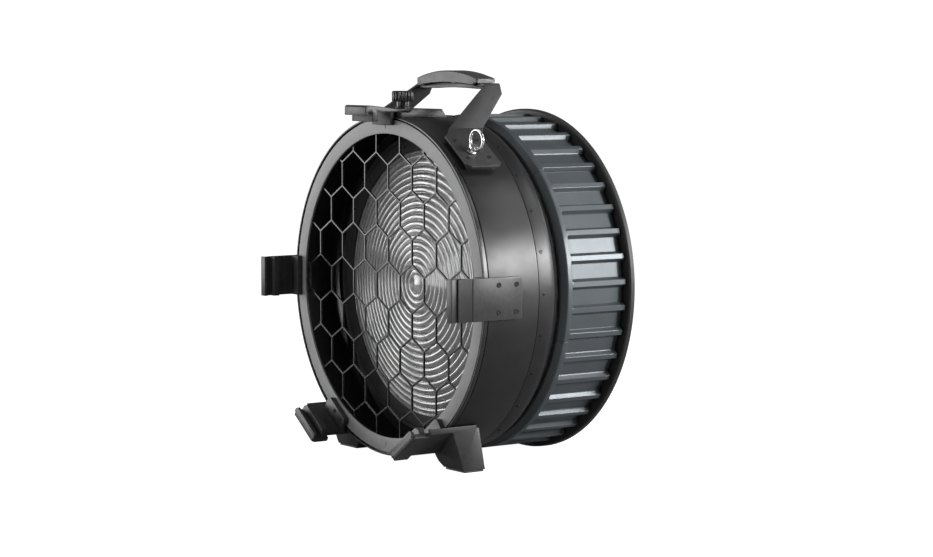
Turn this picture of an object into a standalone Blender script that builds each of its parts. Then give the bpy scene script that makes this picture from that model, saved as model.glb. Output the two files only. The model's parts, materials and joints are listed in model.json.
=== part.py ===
"""Fresnel spotlight lens head, 14 inch class, as an assembly of separate parts.

Row frame: metres, +Z up, the light leaves towards -Y.  The origin is the centre of the footprint.
Lengths below are in millimetres.  They are written in the drum frame: x to the right seen from the front,
y backwards from the front face of the bezel, z upwards from the optical axis.
"""

import math

import bmesh
import bpy
from mathutils import Matrix, Vector

MM = 0.001

# Where the drum frame sits in the row frame.
AXIS_HEIGHT = 231.5
FRONT_Y = -95.7

# Play left between two parts that touch.
GAP = 0.35

# Facets round a full turn.
OUTER_FACETS = 60
INNER_FACETS = 40

# Front of the drum.
BEZEL_INNER_R = 201.0
BEZEL_OUTER_R = 220.4
BEZEL_THICK = 2.6
RIM_R = 224.6
RIM_LIP_Y = -0.8
RIM_REAR_Y = 5.4
SHELF_INNER_R = 209.0
WALL = 3.0
SEAM_Y = 84.0
SHOULDER_Y = 118.0
REAR_HOUSING_R = 224.2

# Wire guard.
HEX_SIDE = 32.0
GUARD_BAR = 2.6
GUARD_FRONT_Y = 2.95
GUARD_REAR_Y = 5.4
GUARD_R = 208.5
GUARD_HOLE_R = 203.0

# Lens and its carrier.
LENS_R = 179.5
LENS_CENTRE_Y = 47.5
LENS_DOME = 17.5
LENS_THICK = 6.0
LENS_EDGE_Y = LENS_CENTRE_Y + LENS_DOME
CARRIER_R = 200.5
CARRIER_BORE_R = 176.5
ARM_THICK = 3.3
ARM_WIDTH = 26.0
ARM_END_Y = 145.0

# Focus drive: straight guide slots, helical cam slots, followers.
FOLLOWER_ANGLES = (90.0, 210.0, 330.0)
FOLLOWER_D = 8.0
FOLLOWER_Y = 133.0
SLOT_WIDTH = 10.0
TRAVEL = 68.0
FOCUS_TURN = 90.0
GUIDE_TUBE_R = (203.4, 207.0)
CAM_SLEEVE_R = (208.7, 212.5)
CAM_SLEEVE_Y = (119.8, 213.6)

# Focus ring grip, six equal segments of seven ribs.
SEGMENTS = 6
RIBS = 7
SEGMENT_START = 43.9
RIB_START = 1.8
RIB_PITCH = 360.0 / (SEGMENTS * RIBS)
RIB_HALF_BASE = 1.6
RIB_HALF_TOP = 0.8
GRIP_INNER_R = 212.9
GRIP_GROOVE_R = 219.2
GRIP_TAIL_R = 215.6
GRIP_TOP_R = 225.0
GRIP_FRONT_Y = 124.3
GRIP_REAR_Y = 225.4

# Rear flange and mount.
FLANGE_R = 231.5
FLANGE_FRONT_Y = 226.6
HUB_R = 212.2
FLANGE_REAR_Y = 235.5
MOUNT_REAR_Y = 246.0
MOUNT_R = 112.0
MOUNT_BORE_R = 92.0

# Accessory claws, in (y, distance from the optical axis).
CLAW_OUTER = 229.0
CLAW_PLATE_INNER = 225.3
CLAW_LIP_Y = -54.6
SIDE_CLAW_WIDTH = 54.0
LOWER_CLAW_ANGLE = 36.0
LOWER_CLAW_OUTER = 231.4
LOWER_CLAW_LOW = -48.0
LOWER_CLAW_HIGH = 11.0

# Feet under the lower claws.
FOOT_OUTER_X = 150.0
PAD_THICK = 2.5

# Top claw with its clamping knob.
TOP_CLAW_HALF = 25.0
TOP_NECK_HALF = 22.0
PLATE_LOW_Z = 229.5
PLATE_HIGH_Z = 233.5
LATCH_TOP_Z = 233.3
STUD_Y = 27.0
STUD_D = 8.0
KNOB_R = 14.5
KNOB_FLUTES = 20

# Handle brackets on the upper shoulders.
HANDLE_ANGLE = 54.0
HANDLE_PLATE_R = 228.8
HANDLE_SHEET = 3.6
HANDLE_FRONT_Y = 12.0
HANDLE_REAR_Y = 66.5
HANDLE_CENTRE_S = -13.0
HANDLE_CENTRE_Y = 33.5
HANDLE_TOP_X = 79.0
HANDLE_TOP_Z = 267.0
TAB_END_X = 62.0
BAR_THICK = 3.6
BAR_ARCH = (4.4, 1.5)
BAR_ARCH_END = 58.0

# Safety eye on the right handle bracket.
EYE_HOLE_HEIGHT = 4.8
EYE_BLOCK_HALF = (3.2, 6.2)
EYE_RING_R = 13.4
EYE_WIRE_R = 1.9


# --- materials -------------------------------------------------------------------------------------------

def principled(name, colour, roughness, metallic=0.0, transmission=0.0):
    """Make one Principled BSDF material."""
    made = bpy.data.materials.new(name)
    made.use_nodes = True
    shader = made.node_tree.nodes["Principled BSDF"]
    shader.inputs["Base Color"].default_value = (*colour, 1.0)
    shader.inputs["Roughness"].default_value = roughness
    shader.inputs["Metallic"].default_value = metallic
    shader.inputs["Transmission Weight"].default_value = transmission
    made.diffuse_color = (*colour, 1.0)
    return made


def make_materials():
    """All the finishes of the object, by name."""
    return {
        "black_paint": principled("black_paint", (0.028, 0.028, 0.030), 0.42, 0.3),
        "bezel_grey": principled("bezel_grey", (0.16, 0.16, 0.165), 0.5, 0.4),
        "cast_black": principled("cast_black", (0.035, 0.035, 0.037), 0.55, 0.3),
        "inner_black": principled("inner_black", (0.012, 0.012, 0.012), 0.7),
        "grip_grey": principled("grip_grey", (0.20, 0.235, 0.255), 0.38, 0.5),
        "steel": principled("steel", (0.62, 0.62, 0.62), 0.25, 1.0),
        "rubber": principled("rubber", (0.03, 0.03, 0.03), 0.75),
        "nylon": principled("nylon", (0.55, 0.54, 0.50), 0.6),
        "glass": principled("glass", (0.92, 0.95, 0.95), 0.08, 0.0, 1.0),
        "knob_black": principled("knob_black", (0.03, 0.03, 0.032), 0.45),
    }


# --- building blocks -------------------------------------------------------------------------------------

def to_row(x, y, z):
    """A drum frame point, as a row frame point in metres."""
    return Vector((x, y + FRONT_Y, z + AXIS_HEIGHT)) * MM


def polar(radius, degrees):
    """x and z of a point at a radius and an angle from +x towards +z."""
    turn = math.radians(degrees)
    return radius * math.cos(turn), radius * math.sin(turn)


def finish_mesh(bm, name, material, pivot=(0.0, 0.0, 0.0)):
    """Turn a bmesh in millimetres of the drum frame into a placed object."""
    bmesh.ops.remove_doubles(bm, verts=bm.verts, dist=0.001)
    bmesh.ops.recalc_face_normals(bm, faces=bm.faces)
    bmesh.ops.translate(bm, verts=bm.verts, vec=-Vector(pivot))
    bmesh.ops.scale(bm, verts=bm.verts, vec=(MM, MM, MM))
    mesh = bpy.data.meshes.new(name)
    bm.to_mesh(mesh)
    bm.free()
    if material is not None:
        mesh.materials.append(material)
    made = bpy.data.objects.new(name, mesh)
    made.location = to_row(*pivot)
    bpy.context.scene.collection.objects.link(made)
    return made


def smooth(made, degrees=32.0):
    """Shade round faces smooth and keep the real edges sharp."""
    made.data.shade_smooth()
    made.data.set_sharp_from_angle(angle=math.radians(degrees))
    return made


def turned(name, profile, material, facets=OUTER_FACETS, closed=True):
    """A body turned about the optical axis from (radius, y); an open profile starts and ends on the axis."""
    bm = bmesh.new()
    verts = [bm.verts.new((radius, y, 0.0)) for radius, y in profile]
    edges = [bm.edges.new((verts[i - 1], verts[i])) for i in range(0 if closed else 1, len(verts))]
    bmesh.ops.spin(bm, geom=verts + edges, cent=(0, 0, 0), axis=(0, 1, 0), angle=math.tau, steps=facets)
    return smooth(finish_mesh(bm, name, material))


def prism(bm, outline, start, end, place):
    """Extrude a closed outline of (u, v) between two depths; place maps (u, v, depth) to (x, y, z)."""
    face = bm.faces.new([bm.verts.new(place(u, v, start)) for u, v in outline])
    grown = bmesh.ops.extrude_face_region(bm, geom=[face])
    shift = Vector(place(0.0, 0.0, end)) - Vector(place(0.0, 0.0, start))
    moved = [item for item in grown["geom"] if isinstance(item, bmesh.types.BMVert)]
    bmesh.ops.translate(bm, verts=moved, vec=shift)


def prism_part(name, outline, start, end, place, material, pivot=(0.0, 0.0, 0.0)):
    """A part that is one prism."""
    bm = bmesh.new()
    prism(bm, outline, start, end, place)
    return finish_mesh(bm, name, material, pivot)


def rod(name, radius, base, axis, length, facets, material, pivot=(0.0, 0.0, 0.0)):
    """A round bar from base along axis."""
    direction = Vector(axis).normalized()
    bm = bmesh.new()
    centre = Vector(base) + direction * length / 2.0
    turn = direction.to_track_quat("Z", "Y").to_matrix().to_4x4()
    bmesh.ops.create_cone(bm, cap_ends=True, segments=facets, radius1=radius, radius2=radius,
                          depth=length, matrix=Matrix.Translation(centre) @ turn)
    return smooth(finish_mesh(bm, name, material, pivot))


def boolean(target, tool, operation):
    """Cut a tool from the target or weld it on; the tool itself is only a guide."""
    step = target.modifiers.new(operation.lower(), "BOOLEAN")
    step.operation = operation
    step.solver = "EXACT"
    step.object = tool
    tool.hide_render = True
    tool.display_type = "WIRE"
    return target


def cut(target, *tools):
    """Subtract each tool."""
    for tool in tools:
        boolean(target, tool, "DIFFERENCE")
    return target


def weld(target, *tools):
    """Join each tool to the target as one body."""
    for tool in tools:
        boolean(target, tool, "UNION")
    return target


def drum_cylinder(name, radius, start, end, facets=OUTER_FACETS):
    """A solid cylinder on the optical axis, used as a cutter."""
    return rod(name, radius, (0.0, start, 0.0), (0.0, 1.0, 0.0), end - start, facets, None)


def tangent_place(degrees):
    """Place (along the tangent, y, distance from the axis) on the drum at an angle from +x."""
    out_x, out_z = polar(1.0, degrees)

    def place(along, y, out):
        return (out_x * out - out_z * along, y, out_z * out + out_x * along)

    return place


# --- front of the drum -----------------------------------------------------------------------------------

def hexagon(centre_x, centre_z):
    """Corners of one upright guard opening, smaller than its cell by half a bar."""
    inner = HEX_SIDE - GUARD_BAR / math.sqrt(3.0)
    return [Vector((centre_x + inner * math.sin(math.radians(60.0 * k)),
                    centre_z + inner * math.cos(math.radians(60.0 * k)))) for k in range(6)]


def clip_to_circle(outline, radius, sides=OUTER_FACETS):
    """The part of a convex outline inside a round hole."""
    for k in range(sides):
        turn = math.tau * (k + 0.5) / sides
        normal = Vector((math.cos(turn), math.sin(turn)))
        limit = radius * math.cos(math.pi / sides)
        kept = []
        for i, point in enumerate(outline):
            last = outline[i - 1]
            inside, last_inside = point.dot(normal) <= limit, last.dot(normal) <= limit
            if inside != last_inside:
                share = (limit - last.dot(normal)) / (point - last).dot(normal)
                kept.append(last.lerp(point, share))
            if inside:
                kept.append(point)
        outline = kept
        if not outline:
            break
    return outline


def area(outline):
    """Area of a plane outline."""
    return abs(sum(outline[i - 1].cross(outline[i]) for i in range(len(outline)))) / 2.0


def make_guard(material):
    """Honeycomb guard: one plate with the openings cut out of it."""
    plate = drum_cylinder("wire_guard", GUARD_R, GUARD_FRONT_Y, GUARD_REAR_Y)
    plate.data.materials.append(material)
    holes = bmesh.new()
    pitch_x = HEX_SIDE * math.sqrt(3.0)
    pitch_z = HEX_SIDE * 1.5
    smallest_opening = 60.0
    for row in range(-5, 6):
        for column in range(-5, 6):
            centre_x = (column + 0.5 * (row % 2)) * pitch_x
            opening = clip_to_circle(hexagon(centre_x, row * pitch_z), GUARD_HOLE_R)
            if len(opening) > 2 and area(opening) > smallest_opening:
                prism(holes, opening, GUARD_FRONT_Y - 2.0, GUARD_REAR_Y + 2.0, lambda u, v, d: (u, d, v))
    cut(plate, finish_mesh(holes, "guard_openings", None))
    plate.data.set_sharp_from_angle(angle=math.radians(20.0))
    return plate


def make_front(paints):
    """Bezel, rim ring, guard and the two drum shells."""
    turned("front_bezel", [(BEZEL_INNER_R, 0.0), (BEZEL_OUTER_R, 0.0), (BEZEL_OUTER_R, BEZEL_THICK),
                           (BEZEL_INNER_R, BEZEL_THICK)], paints["bezel_grey"])
    turned("front_rim_ring", [(RIM_R - 2.6, RIM_LIP_Y), (RIM_R, RIM_LIP_Y), (RIM_R, RIM_REAR_Y),
                              (SHELF_INNER_R, RIM_REAR_Y), (SHELF_INNER_R, BEZEL_THICK + GAP),
                              (RIM_R - 2.6, BEZEL_THICK + GAP)], paints["black_paint"])
    make_guard(paints["black_paint"])
    shell_front = RIM_REAR_Y + GAP + 0.3
    inner = RIM_R - WALL
    turned("front_housing", [(RIM_R, shell_front), (RIM_R, SEAM_Y - GAP), (inner, SEAM_Y - GAP),
                             (inner, shell_front + 2.0), (SHELF_INNER_R + 5.0, shell_front + 2.0),
                             (SHELF_INNER_R + 5.0, shell_front)], paints["black_paint"])
    turned("joint_band", [(inner - 3.6, SEAM_Y - 12.0), (inner - GAP, SEAM_Y - 12.0),
                          (inner - GAP, SEAM_Y + 12.0), (inner - 3.6, SEAM_Y + 12.0)],
           paints["inner_black"], INNER_FACETS)
    flange_inner = GUIDE_TUBE_R[1] + GAP
    turned("rear_housing", [(REAR_HOUSING_R, SEAM_Y + GAP), (REAR_HOUSING_R, 103.0), (222.6, 110.0),
                            (218.4, 115.4), (211.0, SHOULDER_Y), (flange_inner, SHOULDER_Y),
                            (flange_inner, SHOULDER_Y - 3.0), (210.2, SHOULDER_Y - 3.0),
                            (216.4, 112.8), (inner, 103.0), (inner, SEAM_Y + GAP)],
           paints["black_paint"])


# --- lens and focus drive --------------------------------------------------------------------------------

def lens_assembly(paints):
    """Lens, its seal, retaining ring and carrier with three drive arms."""
    edge_rear = LENS_EDGE_Y + LENS_THICK
    rim = LENS_R - 2.5
    dome = [(rim * k / 4.0, LENS_CENTRE_Y + LENS_DOME * (k / 4.0) ** 2) for k in range(5)]
    back = [(radius, y + LENS_THICK) for radius, y in reversed(dome)]
    turned("fresnel_lens", dome + [(LENS_R, LENS_EDGE_Y), (LENS_R, edge_rear)] + back, paints["glass"],
           INNER_FACETS, closed=False)
    turned("lens_seal", [(LENS_R + GAP, LENS_EDGE_Y), (LENS_R + 3.0, LENS_EDGE_Y),
                         (LENS_R + 3.0, edge_rear), (LENS_R + GAP, edge_rear)],
           paints["rubber"], INNER_FACETS)
    turned("lens_retaining_ring", [(rim + 0.5, LENS_EDGE_Y - 2.6), (195.0, LENS_EDGE_Y - 2.6),
                                   (195.0, LENS_EDGE_Y - GAP), (rim + 0.5, LENS_EDGE_Y - GAP)],
           paints["inner_black"], INNER_FACETS)
    shelf = edge_rear + GAP
    carrier = turned("lens_carrier", [(CARRIER_BORE_R, shelf), (LENS_R + 3.0 + GAP, shelf),
                                      (LENS_R + 3.0 + GAP, LENS_EDGE_Y), (195.4, LENS_EDGE_Y),
                                      (195.4, LENS_EDGE_Y - 3.0), (CARRIER_R, LENS_EDGE_Y - 3.0),
                                      (CARRIER_R, 87.0), (197.0, 87.0), (197.0, shelf + 3.5),
                                      (CARRIER_BORE_R, shelf + 3.5)], paints["inner_black"], INNER_FACETS)
    for number, degrees in enumerate(FOLLOWER_ANGLES, start=1):
        place = tangent_place(degrees)
        half = ARM_WIDTH / 2.0
        lying = lambda u, v, out, place=place: place(u, v, out)
        arm = prism_part(f"arm_guide_{number}",
                         [(-half, 81.0), (half, 81.0), (half, ARM_END_Y), (-half, ARM_END_Y)],
                         CARRIER_R - 1.2 - ARM_THICK, CARRIER_R - 1.2, lying, None)
        weld(carrier, arm)
        pin_x, pin_z = polar(CARRIER_R - 1.2 + GAP, degrees)
        reach = CAM_SLEEVE_R[1] - 0.4 - (CARRIER_R - 1.2 + GAP)
        rod(f"cam_follower_{number}", FOLLOWER_D / 2.0, (pin_x, FOLLOWER_Y, pin_z), (pin_x, 0.0, pin_z),
            reach, 16, paints["steel"])


def slot_cutter(name, radii, start_angle, end_angle, start_y, end_y, steps):
    """A band-shaped cutter along a straight or helical line on the drive tubes."""
    middle = (radii[0] + radii[1]) / 2.0
    arc = math.radians(end_angle - start_angle) * middle
    rise = end_y - start_y
    length = math.hypot(arc, rise)
    along = Vector((arc / length, rise / length))
    across = Vector((-along.y, along.x)) * SLOT_WIDTH / 2.0
    extra = FOLLOWER_D / 2.0 + 1.0
    low, high = radii[0] - 1.5, radii[1] + 1.5
    bm = bmesh.new()
    loops = []
    for k in range(steps + 1):
        run = -extra + (length + 2.0 * extra) * k / steps
        corners = []
        for side, radius in ((-1, low), (1, low), (1, high), (-1, high)):
            spot = along * run + across * side
            x, z = polar(radius, start_angle + math.degrees(spot.x / middle))
            corners.append(bm.verts.new((x, start_y + spot.y, z)))
        loops.append(corners)
    bm.faces.new(loops[0])
    bm.faces.new(loops[-1])
    for first, second in zip(loops, loops[1:]):
        for i in range(4):
            bm.faces.new((first[i - 1], first[i], second[i], second[i - 1]))
    return finish_mesh(bm, name, None)


def focus_drive(paints):
    """Fixed guide tube, cam sleeve that turns with the grip ring, and its two thrust rings."""
    inner_r, outer_r = GUIDE_TUBE_R
    tube = turned("guide_tube", [(inner_r, 100.0), (outer_r, 100.0), (outer_r, 111.5), (210.0, 111.5),
                                 (210.0, SHOULDER_Y - 3.0 - GAP), (outer_r, SHOULDER_Y - 3.0 - GAP),
                                 (outer_r, 215.0), (inner_r, 215.0)], paints["inner_black"], INNER_FACETS)
    sleeve = turned("cam_sleeve", [(CAM_SLEEVE_R[0], CAM_SLEEVE_Y[0]), (CAM_SLEEVE_R[1], CAM_SLEEVE_Y[0]),
                                   (CAM_SLEEVE_R[1], CAM_SLEEVE_Y[1]), (CAM_SLEEVE_R[0], CAM_SLEEVE_Y[1])],
                    paints["inner_black"], INNER_FACETS)
    for number, degrees in enumerate(FOLLOWER_ANGLES, start=1):
        cut(tube, slot_cutter(f"guide_slot_{number}", GUIDE_TUBE_R, degrees, degrees,
                              FOLLOWER_Y, FOLLOWER_Y + TRAVEL, 1))
        cut(sleeve, slot_cutter(f"cam_slot_{number}", CAM_SLEEVE_R, degrees, degrees + FOCUS_TURN,
                                FOLLOWER_Y, FOLLOWER_Y + TRAVEL, 12))
    for name, front in (("front_thrust_ring", SHOULDER_Y + GAP), ("rear_thrust_ring", CAM_SLEEVE_Y[1] + GAP)):
        turned(name, [(207.6, front), (CAM_SLEEVE_R[1], front), (CAM_SLEEVE_R[1], front + 1.0),
                      (207.6, front + 1.0)], paints["nylon"], INNER_FACETS)


def grip_mesh():
    """One sixth of the grip ring: a chamfered front band and seven ribs."""
    length = [(GRIP_FRONT_Y, 217.0, 217.0), (130.0, GRIP_TOP_R, GRIP_TOP_R), (137.3, GRIP_TOP_R, GRIP_TOP_R),
              (139.3, GRIP_GROOVE_R, GRIP_TOP_R), (216.5, GRIP_GROOVE_R, GRIP_TOP_R),
              (218.5, GRIP_TAIL_R, GRIP_TOP_R), (GRIP_REAR_Y - 1.2, GRIP_TAIL_R, GRIP_TOP_R),
              (GRIP_REAR_Y, GRIP_TAIL_R, GRIP_TOP_R - 1.2)]
    half_joint = 0.08
    stations = [(half_joint, False)]
    for rib in range(RIBS):
        centre = RIB_START + RIB_PITCH * rib
        stations += [(centre - RIB_HALF_BASE, False), (centre - RIB_HALF_TOP, True),
                     (centre + RIB_HALF_TOP, True), (centre + RIB_HALF_BASE, False)]
    stations.append((360.0 / SEGMENTS - half_joint, False))
    bm = bmesh.new()

    def vertex(radius, y, degrees):
        x, z = polar(radius, SEGMENT_START + degrees)
        return bm.verts.new((x, y, z))

    outer = [[vertex(top if raised else low, y, degrees) for y, low, top in length]
             for degrees, raised in stations]
    inner = [[vertex(GRIP_INNER_R, GRIP_FRONT_Y, degrees), vertex(GRIP_INNER_R, GRIP_REAR_Y, degrees)]
             for degrees, raised in stations]
    for k in range(len(stations) - 1):
        here, there = outer[k], outer[k + 1]
        for i in range(len(length) - 1):
            bm.faces.new((here[i], there[i], there[i + 1], here[i + 1]))
        bm.faces.new((inner[k][0], inner[k][1], inner[k + 1][1], inner[k + 1][0]))
        bm.faces.new((here[0], inner[k][0], inner[k + 1][0], there[0]))
        bm.faces.new((here[-1], there[-1], inner[k + 1][1], inner[k][1]))
    for k in (0, -1):
        bm.faces.new(outer[k] + [inner[k][1], inner[k][0]])
    return bm


def make_grip_ring(paints):
    """Six grip segments round the cam sleeve, sharing one mesh."""
    first = finish_mesh(grip_mesh(), "grip_segment_1", paints["grip_grey"])
    smooth(first, 25.0)
    for number in range(2, SEGMENTS + 1):
        copy = bpy.data.objects.new(f"grip_segment_{number}", first.data)
        copy.location = first.location
        copy.rotation_euler.y = -math.tau * (number - 1) / SEGMENTS
        bpy.context.scene.collection.objects.link(copy)


# --- rear ------------------------------------------------------------------------------------------------

def make_rear(paints):
    """Rear flange, rear cover dish and the bayonet ring with three lugs."""
    outline = [(205.0, 215.4), (HUB_R, 215.4), (HUB_R, FLANGE_FRONT_Y), (FLANGE_R - 1.6, FLANGE_FRONT_Y),
               (FLANGE_R, FLANGE_FRONT_Y + 1.6), (FLANGE_R, FLANGE_REAR_Y - 1.6),
               (FLANGE_R - 1.6, FLANGE_REAR_Y), (225.0, FLANGE_REAR_Y), (225.0, FLANGE_FRONT_Y + 3.0),
               (HUB_R - 3.6, FLANGE_FRONT_Y + 3.0), (HUB_R - 3.6, 220.4), (205.0, 220.4)]
    turned("rear_flange", outline, paints["black_paint"])
    turned("rear_cover", [(HUB_R - 4.0, 220.4 + GAP), (HUB_R - 4.0, 224.0), (200.0, 224.0), (120.0, 234.0),
                          (104.0, 234.0), (104.0, 231.0), (119.6, 231.0), (198.0, 220.4 + GAP)],
           paints["black_paint"], INNER_FACETS)
    front = 234.0 + GAP
    outline = [(MOUNT_BORE_R, front), (MOUNT_R + 8.0, front), (MOUNT_R + 8.0, front + 3.0),
               (MOUNT_R - 10.0, front + 3.0), (MOUNT_R - 10.0, MOUNT_REAR_Y), (MOUNT_BORE_R, MOUNT_REAR_Y)]
    ring = turned("bayonet_ring", outline, paints["steel"], INNER_FACETS)
    lug_half = 24.0
    for number, degrees in enumerate((30.0, 150.0, 270.0), start=1):
        place = tangent_place(degrees)
        lug = prism_part(f"lug_guide_{number}", [(-lug_half, 97.0), (lug_half, 97.0), (lug_half - 5.0, 106.0),
                                                 (-lug_half + 5.0, 106.0)],
                         MOUNT_REAR_Y - 4.0, MOUNT_REAR_Y - 0.4,
                         lambda along, out, y, place=place: place(along, y, out), None)
        weld(ring, lug)


# --- accessory claws -------------------------------------------------------------------------------------

def claw_outline(pad_inner, rear_y):
    """Side view of a claw as (y, distance from the axis): lip, notch, tooth, slot, pad and mounting plate."""
    return [(CLAW_LIP_Y, 218.5), (-50.4, 218.5), (-50.4, 222.4), (-42.5, 222.4), (-42.5, 213.8),
            (-34.0, 213.8), (-34.0, 224.6), (-8.0, 224.6), (-8.0, pad_inner), (-1.3, pad_inner),
            (-1.3, CLAW_PLATE_INNER), (rear_y, CLAW_PLATE_INNER), (rear_y, CLAW_OUTER),
            (-22.0, CLAW_OUTER), (-22.0, CLAW_OUTER - 0.8), (-43.9, CLAW_OUTER - 0.8),
            (-43.9, CLAW_OUTER - 3.4), (-51.7, CLAW_OUTER - 3.4), (-51.7, CLAW_OUTER),
            (CLAW_LIP_Y, CLAW_OUTER)]


def plate_corner_cutters(name, place, low, high, rear_y, size):
    """Two wedges that clip the rear corners of a claw plate."""
    cutters = []
    for tag, edge, turn in (("a", low, 1.0), ("b", high, -1.0)):
        outline = [(edge - turn, rear_y - size), (edge + turn * size, rear_y + 1.0),
                   (edge - turn, rear_y + 1.0)]
        cutters.append(prism_part(f"{name}_corner_{tag}", outline, CLAW_PLATE_INNER - 4.0, CLAW_OUTER + 4.0,
                                  place, None))
    return cutters


def make_side_claws(paints):
    """The claws at three and nine o'clock."""
    half = SIDE_CLAW_WIDTH / 2.0
    for side, degrees in (("right", 0.0), ("left", 180.0)):
        place = tangent_place(degrees)
        claw = prism_part(f"claw_{side}", claw_outline(208.0, 54.0), -half, half,
                          lambda y, out, along, place=place: place(along, y, out), paints["cast_black"])
        cut(claw, *plate_corner_cutters(f"claw_{side}", place, -half, half, 54.0, 4.0))


def make_foot_block(name, sign):
    """A tapered foot: leaning back, flat underneath, its inner side curving into the claw."""
    low = -AXIS_HEIGHT + PAD_THICK + GAP
    levels = [(-174.0, 90.0, 2.0, 44.0), (-214.0, 92.0, 15.8, 51.2), (-222.0, 96.0, 18.4, 52.6),
              (low, 104.0, 21.0, 54.0)]
    bm = bmesh.new()
    loops = []
    for z, inner_x, front, rear in levels:
        corners = [(inner_x, front), (FOOT_OUTER_X + 1.0, front), (FOOT_OUTER_X + 1.0, rear), (inner_x, rear)]
        loops.append([bm.verts.new((sign * x, y, z)) for x, y in corners])
    bm.faces.new(loops[0])
    bm.faces.new(loops[-1])
    for first, second in zip(loops, loops[1:]):
        for i in range(4):
            bm.faces.new((first[i - 1], first[i], second[i], second[i - 1]))
    return finish_mesh(bm, name, None)


def make_lower_claws(paints):
    """The two lower claws, each cast in one piece with a foot, and their rubber pads."""
    low, high = LOWER_CLAW_LOW, LOWER_CLAW_HIGH
    plate_inner = CLAW_PLATE_INNER + 2.0
    plate = [(low, -31.0), (low, CLAW_LIP_Y + 3.0), (low + 3.0, CLAW_LIP_Y), (high - 3.0, CLAW_LIP_Y),
             (high, CLAW_LIP_Y + 3.0), (high, -30.0), (21.0, -30.0), (21.0, 40.0), (low + 10.0, 40.0),
             (low + 10.0, -31.0)]
    near, far = low + 0.3, high - 0.3
    lip = [(near, plate_inner), (near + 2.0, 218.5), (far - 3.0, 218.5), (far, 222.0), (far, plate_inner)]
    tooth = [(near, plate_inner), (near + 2.0, 217.0), (near + 6.0, 213.8), (far - 4.5, 213.8), (far, 219.0),
             (far, plate_inner)]
    pad = [(-39.0, plate_inner), (-39.0, 207.5), (-35.5, 204.0), (6.5, 204.0), (10.0, 207.5),
           (10.0, plate_inner)]
    for side, sign in (("right", 1.0), ("left", -1.0)):
        place = tangent_place(-90.0 + sign * LOWER_CLAW_ANGLE)
        lying = lambda along, y, out, place=place, sign=sign: place(sign * along, y, out)
        standing = lambda along, out, y, place=place, sign=sign: place(sign * along, y, out)
        claw = prism_part(f"lower_claw_{side}", plate, CLAW_PLATE_INNER, LOWER_CLAW_OUTER, lying,
                          paints["cast_black"])
        weld(claw, prism_part(f"lip_guide_{side}", lip, CLAW_LIP_Y + 0.3, -50.4, standing, None),
             prism_part(f"tooth_guide_{side}", tooth, -42.5, -34.0, standing, None),
             prism_part(f"pad_guide_{side}", pad, -8.0, -1.3, standing, None),
             make_foot_block(f"foot_guide_{side}", sign))
        side_face = [(FOOT_OUTER_X, -31.0), (FOOT_OUTER_X + 20.0, -31.0), (FOOT_OUTER_X + 20.0, 60.0),
                     (FOOT_OUTER_X, 60.0)]
        cut(claw, drum_cylinder(f"drum_clearance_{side}", RIM_R + GAP, -1.3, 70.0, OUTER_FACETS),
            prism_part(f"side_face_{side}", side_face, -AXIS_HEIGHT - 5.0, -130.0,
                       lambda u, v, d, sign=sign: (sign * u, v, d), None))
        rubber = [(106.0, 22.5), (FOOT_OUTER_X - 1.5, 22.5), (FOOT_OUTER_X - 1.5, 52.5), (106.0, 52.5)]
        prism_part(f"foot_pad_{side}", rubber, -AXIS_HEIGHT, -AXIS_HEIGHT + PAD_THICK,
                   lambda u, v, d, sign=sign: (sign * u, v, d), paints["rubber"])


# --- top claw --------------------------------------------------------------------------------------------

def teardrop():
    """Plan outline of the top claw's tail: wide in front, round behind the stud."""
    outline = [(-TOP_CLAW_HALF, -3.0), (-TOP_CLAW_HALF, 2.0), (-20.0, 12.0)]
    tail_y, tail_r = 36.0, 11.0
    for k in range(7):
        turn = math.pi - math.pi * k / 6.0
        outline.append((tail_r * math.cos(turn), tail_y + tail_r * math.sin(turn)))
    return outline + [(20.0, 12.0), (TOP_CLAW_HALF, 2.0), (TOP_CLAW_HALF, -3.0)]


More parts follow.
